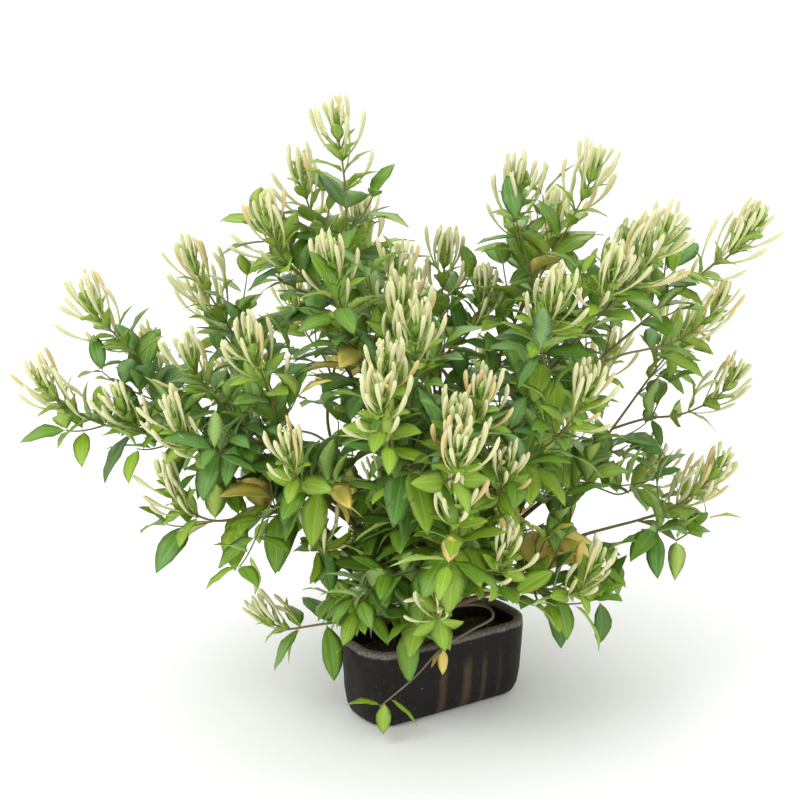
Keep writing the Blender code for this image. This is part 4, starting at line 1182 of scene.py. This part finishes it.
def blade_tree(name, halves, upper, under, rib):
    """Leaves on points: a thin closed blade laid along each point's own direction."""
    plan = Spread(name, {"Thickness": LEAF_THICK, "Edge wave": 0.10})

    def sheet(columns, side):
        grid = plan.node(
            "GeometryNodeMeshGrid",
            {"Size X": 2.0, "Size Y": 1.0, "Vertices X": columns, "Vertices Y": len(BLADE_PLACES)},
        )
        x, y, _ = plan.parts(plan.position())
        steps = len(BLADE_PLACES) - 1
        grown = plan.profile(y + 0.5, [(row / steps, place) for row, place in enumerate(BLADE_PLACES)])
        spread = plan.reckon("POWER", plan.reckon("ABSOLUTE", x), 1.8) * plan.reckon("SIGN", x)
        if side > 0:
            grid = plan.paint(grid, upper)
            grid = plan.paint(grid, rib, plan.reckon("LESS_THAN", plan.reckon("ABSOLUTE", x), 0.1))
        else:
            grid = plan.node("GeometryNodeFlipFaces", {"Mesh": plan.paint(grid, under)})
        half = plan.profile(grown, list(zip(BLADE_PLACES, halves)))
        grid = plan.store(grid, "blade", plan.vector(spread, grown, 0.0))
        bulge = (1.0 - plan.reckon("ABSOLUTE", spread)) * plan.reckon("MINIMUM", half * 5.0, 1.0)
        bulge = bulge * (0.5 * side)
        return plan.place(grid, plan.vector(spread * half, grown, bulge))

    whole = plan.join(sheet(6, 1), sheet(3, -1))
    whole = plan.node("GeometryNodeMergeByDistance", {"Geometry": whole, "Distance": 0.0004})
    across, grown, thick = plan.set_out(whole)
    sine, cosine = plan.bent(grown)
    twist = plan.read("twist") * grown
    level = plan.side * plan.reckon("COSINE", twist) + plan.face * plan.reckon("SINE", twist)
    rib_line = (plan.lie * sine - plan.face * (1.0 - cosine)) * plan.pull
    above = plan.face * cosine + plan.lie * sine - plan.side * plan.reckon("SINE", twist)
    reach = plan.reckon("ABSOLUTE", across) * plan.half_width
    wave = plan.reckon("SINE", grown * 13.0 + plan.read("twist") * 20.0) * reach * plan.size("Edge wave")
    lift = reach * plan.read("fold") + wave + thick * plan.size("Thickness")
    place = plan.root + rib_line + level * (across * plan.half_width) + above * lift
    plan.finish(plan.place(plan.laid, place))
    return plan


# Girth of a bud along its length: a thin tube, then a club that tapers to a blunt tip.
BUD_PROFILE = (
    (0.0, 0.44), (0.20, 0.40), (0.45, 0.46), (0.62, 0.72),
    (0.78, 0.96), (0.87, 1.0), (0.95, 0.78), (1.0, 0.16),
)


def bud_tree(name, base, middle, club):
    """Buds on points: slim clubs that bend from their own direction towards the light."""
    plan = Spread(name, {"Sides": 6, "Rings": 8})
    rod = plan.node(
        "GeometryNodeMeshCylinder",
        {"Vertices": plan.size("Sides"), "Side Segments": plan.size("Rings"), "Radius": 1.0, "Depth": 1.0},
        fill_type="TRIANGLE_FAN",
    )
    x, y, z = plan.parts(plan.position())
    grown = 1.0 - plan.reckon("POWER", plan.reckon("MAXIMUM", 0.5 - z, 0.0), 1.4)
    rod = plan.paint(rod, club)
    rod = plan.paint(rod, middle, plan.reckon("LESS_THAN", z, -0.08))
    rod = plan.paint(rod, base, plan.reckon("LESS_THAN", z, -0.33))
    girth = plan.profile(grown, BUD_PROFILE)
    out, sideways, grown = plan.set_out(plan.place(rod, plan.vector(x * girth, y * girth, grown)))
    sine, cosine = plan.bent(grown)
    line = (plan.lie * sine + plan.face * (1.0 - cosine)) * plan.pull
    inner = plan.face * cosine - plan.lie * sine
    place = plan.root + line + inner * (out * plan.half_width) + plan.side * (sideways * plan.half_width)
    plan.finish(plan.place(plan.laid, place))
    return plan


def twig_tree(name, material):
    """Round stems along polylines, each point with its own girth."""
    plan = Plan(name, {"Sides": 6})
    line = plan.node("GeometryNodeMeshToCurve", {"Mesh": plan.incoming})
    ring = plan.node("GeometryNodeCurvePrimitiveCircle", {"Resolution": plan.size("Sides"), "Radius": 1.0})
    stem = plan.node(
        "GeometryNodeCurveToMesh",
        {"Curve": line, "Profile Curve": ring, "Scale": plan.read("girth"), "Fill Caps": True},
    )
    plan.finish(plan.paint(stem, material))
    return plan


def point_mesh(name, items):
    """A mesh of one point per leaf or bud, with what its tree reads."""
    mesh = bpy.data.meshes.new(name)
    mesh.from_pydata([item["root"] for item in items], [], [])
    for key in ("lie", "face"):
        stored = mesh.attributes.new(key, "FLOAT_VECTOR", "POINT")
        stored.data.foreach_set("vector", [value for item in items for value in item[key]])
    for key in ("length", "width", "curl", "fold", "twist"):
        stored = mesh.attributes.new(key, "FLOAT", "POINT")
        stored.data.foreach_set("value", [item[key] for item in items])
    return mesh


def line_mesh(name, twigs):
    """A mesh of polylines with a girth at each point."""
    points = []
    edges = []
    girths = []
    for twig in twigs:
        path = twig["path"]
        first = len(points)
        for index, point in enumerate(path):
            share = index / (len(path) - 1)
            points.append(point)
            girths.append(twig["radius"] + (twig["tip"] - twig["radius"]) * share)
        edges.extend((first + index, first + index + 1) for index in range(len(path) - 1))
    mesh = bpy.data.meshes.new(name)
    mesh.from_pydata(points, edges, [])
    stored = mesh.attributes.new("girth", "FLOAT", "POINT")
    stored.data.foreach_set("value", girths)
    return mesh


def linear(*screen):
    """A colour given by its screen values, all above 10 and up to 255."""
    return tuple(((value / 255 + 0.055) / 1.055) ** 2.4 for value in screen)


def new_material(name, colour, roughness):
    """A named material with a plain base colour, and a shop for its other nodes."""
    material = bpy.data.materials.new(name)
    material.use_nodes = True
    shader = material.node_tree.nodes["Principled BSDF"]
    shader.inputs["Base Color"].default_value = (*colour, 1.0)
    shader.inputs["Roughness"].default_value = roughness
    return material, shader, Shop(material.node_tree)


def add_bump(shop, shader, height, strength, distance):
    """Small relief from a height."""
    bump = shop.node("ShaderNodeBump", {"Height": height, "Strength": strength, "Distance": distance})
    shop.plug(shader.inputs["Normal"], bump)


def living_skin(shop, shader, patches, roughness, glow, glow_radius, glow_scale):
    """Uneven sheen, and a little light that passes through."""
    uneven = shop.clouds(shop.object_place(), *patches)
    shop.plug(shader.inputs["Roughness"], uneven * 0.30 + (roughness - 0.15))
    shader.inputs["Subsurface Weight"].default_value = glow
    shader.inputs["Subsurface Radius"].default_value = glow_radius
    shader.inputs["Subsurface Scale"].default_value = glow_scale


def leaf_material(name, colour, roughness, veins=0.25):
    """Leaf skin: plain colour, uneven sheen, side veins that run forward from the rib."""
    material, shader, shop = new_material(name, linear(*colour), roughness)
    x, y, _ = shop.parts(shop.node("ShaderNodeAttribute", out="Vector", attribute_name="blade"))
    ridge = shop.reckon("SINE", (y * 11.0 - shop.reckon("ABSOLUTE", x) * 2.2) * 6.2832)
    grain = shop.clouds(shop.object_place(), 900.0)
    add_bump(shop, shader, ridge * 0.5 * veins + grain * 0.35, 0.55, 0.0006)
    living_skin(shop, shader, (60.0,), roughness, 0.10, (0.6, 1.0, 0.2), 0.004)
    return material


def petal_material(name, colour):
    """Bud skin: downy and slightly glossy."""
    material, shader, shop = new_material(name, linear(*colour), 0.5)
    add_bump(shop, shader, shop.clouds(shop.object_place(), 1400.0), 0.35, 0.0003)
    living_skin(shop, shader, (120.0, 1.0), 0.5, 0.15, (1.0, 0.9, 0.5), 0.003)
    return material


def grainy_material(name, light, dark, grain, sheen, relief):
    """Bark or soil: lighter grains between dark cracks, rough all over."""
    material, shader, shop = new_material(name, linear(*light), sheen[1])
    height = shop.clouds(shop.object_place(), *grain)
    shop.plug(shader.inputs["Base Color"], shop.mix(height, linear(*dark), linear(*light)))
    shop.plug(shader.inputs["Roughness"], height * sheen[0] + sheen[1])
    add_bump(shop, shader, height, *relief)
    return material


def bark_material(name, light, dark, roughness):
    return grainy_material(name, light, dark, (260.0, 5.0, 0.6), (0.2, roughness - 0.1), (0.5, 0.0006))


def soil_material(name, light, dark):
    return grainy_material(name, light, dark, (500.0, 4.0, 0.7), (0.15, 0.82), (0.6, 0.0008))


# Screen colours of each class: a blade's upper side, under side and rib, then a bud's base, middle and club.
BLADE_COLOURS = {
    "leaves_deep": ((70, 108, 30), (118, 152, 82), (98, 136, 56)),
    "leaves_mid": ((102, 144, 38), (144, 178, 92), (130, 168, 66)),
    "leaves_blue": ((90, 136, 56), (136, 176, 112), (118, 160, 82)),
    "leaves_fresh": ((134, 170, 44), (166, 194, 88), (160, 190, 76)),
    "leaves_gold": ((240, 216, 112), (228, 206, 116), (232, 208, 112)),
    "bracts": ((126, 168, 44), (154, 188, 82), (160, 192, 78)),
}
BUD_COLOURS = {
    "cream": ((150, 172, 82), (192, 198, 126), (218, 216, 166)),
    "green": ((138, 176, 72), (166, 194, 98), (194, 210, 136)),
    "fading": ((176, 172, 98), (208, 190, 122), (220, 198, 138)),
}
YOUNG_BARK_COLOURS = {
    "green": ((138, 132, 74), (112, 92, 56)),
    "brown": ((150, 136, 118), (98, 80, 66)),
}


def finish_piece(piece, slot, *nodes):
    """What every piece of the plant needs from the frame."""
    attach(piece, "root")
    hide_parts(*nodes)


def make_foliage(foliage):
    """Leaves, bracts, buds and twigs, each kind and tint apart."""

    def of_tint(items, tint):
        return [item for item in items if item["tint"] == tint]

    made = []
    for name, (upper, under, rib) in BLADE_COLOURS.items():
        leaf = name != "bracts"
        skin = name.replace("leaves", "leaf").replace("bracts", "bract")
        skins = (
            leaf_material(skin, upper, 0.42 if leaf else 0.45),
            leaf_material(skin + "_under", under, 0.62 if leaf else 0.6, 0.4),
            leaf_material(skin + "_rib", rib, 0.5, 0.0),
        )
        plan = blade_tree(name, LEAF_HALVES if leaf else BRACT_HALVES, *skins)
        items = of_tint(foliage.leaves, name[len("leaves_"):]) if leaf else foliage.bracts
        made.append(plan.make(name, point_mesh(name, items)))
    for tint, colours in BUD_COLOURS.items():
        name = "buds_" + tint
        parts = zip(("base", "middle", "club"), colours)
        plan = bud_tree(name, *(petal_material("bud_" + tint + "_" + part, colour) for part, colour in parts))
        made.append(plan.make(name, point_mesh(name, of_tint(foliage.buds, tint))))
    for tint, (light, dark) in YOUNG_BARK_COLOURS.items():
        name = "twigs_" + tint
        plan = twig_tree(name, bark_material("young_bark_" + tint, light, dark, 0.6))
        made.append(plan.make(name, line_mesh(name, of_tint(foliage.twigs, tint))))
    for piece in made:
        finish_piece(piece, "foliage", *("mass_" + name for name in (*MASSES, *TRAILS)))


def show(name, mesh):
    """An object for a mesh, in the scene."""
    made = bpy.data.objects.new(name, mesh)
    bpy.context.scene.collection.objects.link(made)
    return made


def mesh_object(name, points, faces, material):
    """A closed mesh object whose faces look outwards."""
    form = bmesh.new()
    corners = [form.verts.new(point) for point in points]
    for face in faces:
        form.faces.new([corners[index] for index in face])
    bmesh.ops.recalc_face_normals(form, faces=form.faces)
    for face in form.faces:
        face.smooth = True
    mesh = bpy.data.meshes.new(name)
    form.to_mesh(mesh)
    form.free()
    mesh.materials.append(material)
    return show(name, mesh)


def make_wood(boughs):
    """Trunk and boughs in one piece, with ridged bark."""
    rings = 46
    sides = 30
    path = [trunk_centre(index / rings) for index in range(rings + 1)]
    points = tube_points(path, [trunk_radius(index / rings) for index in range(rings + 1)], sides, 0.10, 1)
    for index, centre in enumerate(path):
        flare = max(0.0, 1.0 - index / rings / ROOT_LOBE_HEIGHT)
        for corner in range(index * sides, (index + 1) * sides):
            offset = points[corner] - centre
            angle = math.atan2(offset.y, offset.x)
            lobe = 1.0 + ROOT_LOBE_DEPTH * flare * math.cos(ROOT_LOBES * angle + 0.6)
            points[corner] = centre + offset * lobe
    faces = ring_faces(rings + 1, sides)
    for number, line in enumerate(boughs.values()):
        path = [line[0] + (line[0] - line[1]).normalized() * 0.004] + fine_points(line, 0.005)
        thinner = (BOUGH_TIP_RADIUS - BOUGH_FOOT_RADIUS) / (len(path) - 1)
        radii = [BOUGH_FOOT_RADIUS * 1.05 + thinner * index for index in range(len(path))]
        first = len(points)
        points.extend(tube_points(path, radii, 10, 0.12, number + 2))
        faces.extend(tuple(index + first for index in face) for face in ring_faces(len(path), 10))
    bark = bark_material("old_bark", (150, 116, 82), (84, 60, 44), 0.8)
    piece = mesh_object("trunk_and_boughs", points, faces, bark)
    finish_piece(piece, "bark", "trunk", *("bough_" + name for name in MASSES))


def trough_ring(inset, height):
    """One level outline of the pot, a rounded rectangle set in from the full size."""
    half_length = POT_LENGTH / 2 - inset
    half_width = POT_WIDTH / 2 - inset
    corner = max(POT_CORNER - inset, 0.004)
    turn = Matrix.Rotation(math.radians(POT_TURN), 3, "Z")
    outline = []
    for quarter, (across, back) in enumerate(((1, 1), (-1, 1), (-1, -1), (1, -1))):
        centre = Vector((across * (half_length - corner), back * (half_width - corner), height))
        for step in range(CORNER_STEPS + 1):
            angle = math.radians(90.0 * (quarter + step / CORNER_STEPS))
            outline.append(centre + Vector((math.cos(angle), math.sin(angle), 0.0)) * corner)
    points = []
    for index, point in enumerate(outline):
        after = outline[(index + 1) % len(outline)]
        points.append(turn @ point)
        if (index + 1) % (CORNER_STEPS + 1) == 0:
            for step in range(1, SIDE_STEPS):
                points.append(turn @ point.lerp(after, step / SIDE_STEPS))
    return points


def read_table(table, height):
    """A value between the rows of a table."""
    for (low, low_value), (high, high_value) in zip(table, table[1:]):
        if height <= high:
            share = max(0.0, (height - low) / (high - low))
            return low_value + (high_value - low_value) * share
    return table[-1][1]


def stacked(levels, roughen):
    """Points and faces of a stack of pot outlines."""
    rings = [trough_ring(inset, height) for inset, height in levels]
    return [roughen(point) for ring in rings for point in ring], ring_faces(len(rings), len(rings[0]))


def make_pot():
    """Glazed trough with a thick rim, its top lighter with a painted highlight."""
    levels = [(read_table(POT_OUTSIDE, height), height) for height in OUTSIDE_HEIGHTS]
    for step in range(RIM_STEPS + 1):
        angle = math.pi * step / RIM_STEPS
        inset = POT_WALL / 2 - math.cos(angle) * (POT_WALL / 2)
        levels.append((inset, POT_HEIGHT - RIM_ROUND + RIM_ROUND * math.sin(angle) ** 0.8))
    for height in INSIDE_HEIGHTS:
        levels.append((POT_WALL + read_table(POT_INSIDE, height), height))

    def roughen(point):
        if point.z < 0.0005:
            return point
        bump = noise.noise(point * 60.0) * 0.0005 + noise.noise(point * 190.0) * 0.0002
        level = Vector((point.x, point.y, 0.0)).normalized()
        return point - level * abs(bump) + UP * min(0.0, bump) * 0.6

    piece = mesh_object("pot_shell", *stacked(levels, roughen), pot_material())
    finish_piece(piece, "pot", "pot")


def pot_material():
    """Dark weathered glaze with rusty streaks, and a painted highlight in lighter grey along the top of the
    rim.
    """
    dark = linear(24, 19, 17)
    material, shader, shop = new_material("weathered_glaze", dark, 0.5)
    place = shop.object_place()
    x, y, z = shop.parts(place)
    turn = math.radians(POT_TURN)
    along_pot = x * math.cos(turn) + y * math.sin(turn)
    streak = shop.clouds(shop.vector(x, y, z * 0.10), 90.0, 4.0, 0.65)
    cloud = shop.clouds(place, 45.0, 5.0, 0.6)
    fleck = shop.clouds(place, 400.0, 3.0, 0.7)
    runs = 0.0
    for middle, half, strength in POT_RUNS:
        away = shop.reckon("ABSOLUTE", along_pot + (cloud - 0.5) * 0.004 - middle)
        runs = shop.reckon("MAXIMUM", runs, shop.ramp(away, half * 1.5, half * 0.5, strength))
    low_down = shop.ramp(z + (streak - 0.5) * 0.03, POT_HEIGHT - 0.020, POT_HEIGHT - 0.034)
    rust = shop.reckon("MAXIMUM", shop.ramp(streak, 0.60, 0.74) * 0.35, runs * low_down)
    colour = shop.mix(rust, dark, linear(82, 64, 48))
    colour = shop.mix(shop.ramp(cloud, 0.55, 0.75) * 0.35, colour, linear(62, 52, 46))
    colour = shop.mix(shop.ramp(fleck, 0.66, 0.74) * 0.5, colour, linear(150, 142, 132))
    # Painted highlight: the top of the rim in lighter, flecked grey where it catches the light, and made
    # rougher there.
    rim_highlight = shop.ramp(z + (cloud - 0.5) * 0.006, POT_HEIGHT - 0.0060, POT_HEIGHT - 0.0038)
    highlight_grey = shop.mix(shop.ramp(fleck, 0.35, 0.65), linear(86, 80, 76), linear(134, 128, 122))
    shop.plug(shader.inputs["Base Color"], shop.mix(rim_highlight, colour, highlight_grey))
    shop.plug(shader.inputs["Roughness"], cloud * 0.25 + rim_highlight * 0.2 + 0.48)
    shader.inputs["Specular IOR Level"].default_value = 0.22
    add_bump(shop, shader, cloud * 0.6 + fleck * 0.4 + streak * 0.3, 0.5, 0.0012)
    return material


def make_soil():
    """Soil bed that fills the pot, lumpy on top, and its loose crumbs."""
    slack = CLEAR * 1.5
    levels = [(POT_WALL + inset + slack, height + slack) for height, inset in POT_INSIDE[:-1]]
    edge = SOIL_TOP - SOIL_SINK - 0.002
    levels.append((POT_WALL + read_table(POT_INSIDE, edge) + slack, edge))
    wall = POT_WALL + read_table(POT_INSIDE, SOIL_TOP)
    levels.extend((wall + inset, SOIL_TOP - SOIL_SINK * sink) for inset, sink in SOIL_DIP)

    def roughen(point):
        if point.z < edge + 0.0005:
            return point
        return point + UP * (noise.noise(point * 140.0) * 0.0011 + noise.noise(point * 420.0) * 0.0005)

    points, faces = stacked(levels, roughen)
    soil = soil_material("soil_bed", (74, 52, 40), (42, 30, 24))
    finish_piece(mesh_object("soil_bed", points, faces, soil), "soil", "soil")
    first = next(index for index, point in enumerate(points) if point.z > edge + 0.0005)
    sides = len(trough_ring(0.0, 0.0))
    bed = bpy.data.meshes.new("bed")
    bed.from_pydata(points[first:], [], ring_faces((len(points) - first) // sides, sides, False))
    finish_piece(crumb_tree().make("soil_crumbs", bed), "soil", "soil")


def crumb_tree():
    """Crumbs scattered over the soil, each turned and sized by a fixed seed."""
    sizes = {"Crumbs per square metre": 90000.0, "Smallest": 0.0006, "Largest": 0.0020, "Seed": 7}
    plan = Plan("soil_crumbs", sizes)

    def chance(low, high, seed, kind="FLOAT_VECTOR"):
        return plan.node("FunctionNodeRandomValue", {"Min": low, "Max": high, "Seed": seed}, data_type=kind)

    points = plan.node(
        "GeometryNodeDistributePointsOnFaces",
        {"Mesh": plan.incoming, "Density": plan.size("Crumbs per square metre"), "Seed": plan.size("Seed")},
        out="Points",
    )
    points = plan.store(points, "kind", chance(0.0, 1.0, 13, "FLOAT"), "FLOAT")
    squash = chance((0.6, 0.6, 0.45), (1.3, 1.0, 0.9), 11)
    size = chance(plan.size("Smallest"), plan.size("Largest"), plan.size("Seed"), "FLOAT")
    crumb = plan.node("GeometryNodeMeshIcoSphere", {"Radius": 1.0, "Subdivisions": 1})
    turn = chance((0.0, 0.0, 0.0), (6.28, 6.28, 6.28), 12)
    inputs = {"Points": points, "Instance": crumb, "Rotation": turn, "Scale": squash * size}
    laid = plan.node("GeometryNodeInstanceOnPoints", inputs)
    laid = plan.node("GeometryNodeRealizeInstances", {"Geometry": laid})
    laid = plan.paint(laid, soil_material("soil_crumb_dark", (66, 46, 36), (38, 28, 22)))
    for name, light, dark, above in (
        ("soil_crumb_red", (122, 74, 52), (82, 50, 38), 0.62),
        ("soil_crumb_pale", (140, 118, 96), (98, 80, 64), 0.93),
    ):
        chosen = plan.reckon("GREATER_THAN", plan.read("kind"), above)
        laid = plan.paint(laid, soil_material(name, light, dark), chosen)
    plan.finish(laid)
    return plan


def make_studio():
    """Pale floor, soft light and the photograph's camera."""
    floor_mesh = bpy.data.meshes.new("floor")
    corners = [(-60.0, -60.0, 0.0), (60.0, -60.0, 0.0), (60.0, 60.0, 0.0), (-60.0, 60.0, 0.0)]
    floor_mesh.from_pydata(corners, [], [(0, 1, 2, 3)])
    material, shader, shop = new_material("pale_floor", (0.94, 0.94, 0.94), 0.9)
    shop.plug(shader.inputs["Roughness"], shop.clouds(shop.object_place(), 30.0) * 0.1 + 0.85)
    floor_mesh.materials.append(material)
    show("floor", floor_mesh)

    world = bpy.data.worlds.new("soft_daylight")
    world.use_nodes = True
    sky = world.node_tree.nodes["Background"]
    sky.inputs["Color"].default_value = (1.0, 1.0, 1.0, 1.0)
    sky.inputs["Strength"].default_value = 1.09
    bpy.context.scene.world = world

    for name, place, aim_height, size, power in (
        ("key", (-1.6, -1.6, 2.6), 0.25, 1.6, 34.0),
        ("fill", (2.0, -1.4, 1.6), 0.25, 2.0, 8.0),
        ("back", (0.4, 2.0, 2.2), 0.3, 1.8, 12.0),
    ):
        light = bpy.data.lights.new(name, "AREA")
        light.size = size
        light.energy = power
        lamp = show(name, light)
        lamp.location = place
        lamp.rotation_euler = (UP * aim_height - Vector(place)).to_track_quat("-Z", "Y").to_euler()

    lens = bpy.data.cameras.new("camera")
    lens.sensor_width = SENSOR_SIDE
    lens.lens = SENSOR_SIDE / 2 / math.tan(math.radians(CAMERA_HALF_VIEW))
    lens.clip_end = 200.0
    camera = show("camera", lens)
    camera.location = CAMERA_PLACE
    camera.rotation_euler = (math.radians(90.0 - CAMERA_DOWN), 0.0, 0.0)
    bpy.context.scene.camera = camera
    bpy.context.scene.view_settings.view_transform = "Standard"


make_studio()
boughs, foliage = grow_foliage()
make_wood(boughs)
make_pot()
make_soil()
make_foliage(foliage)
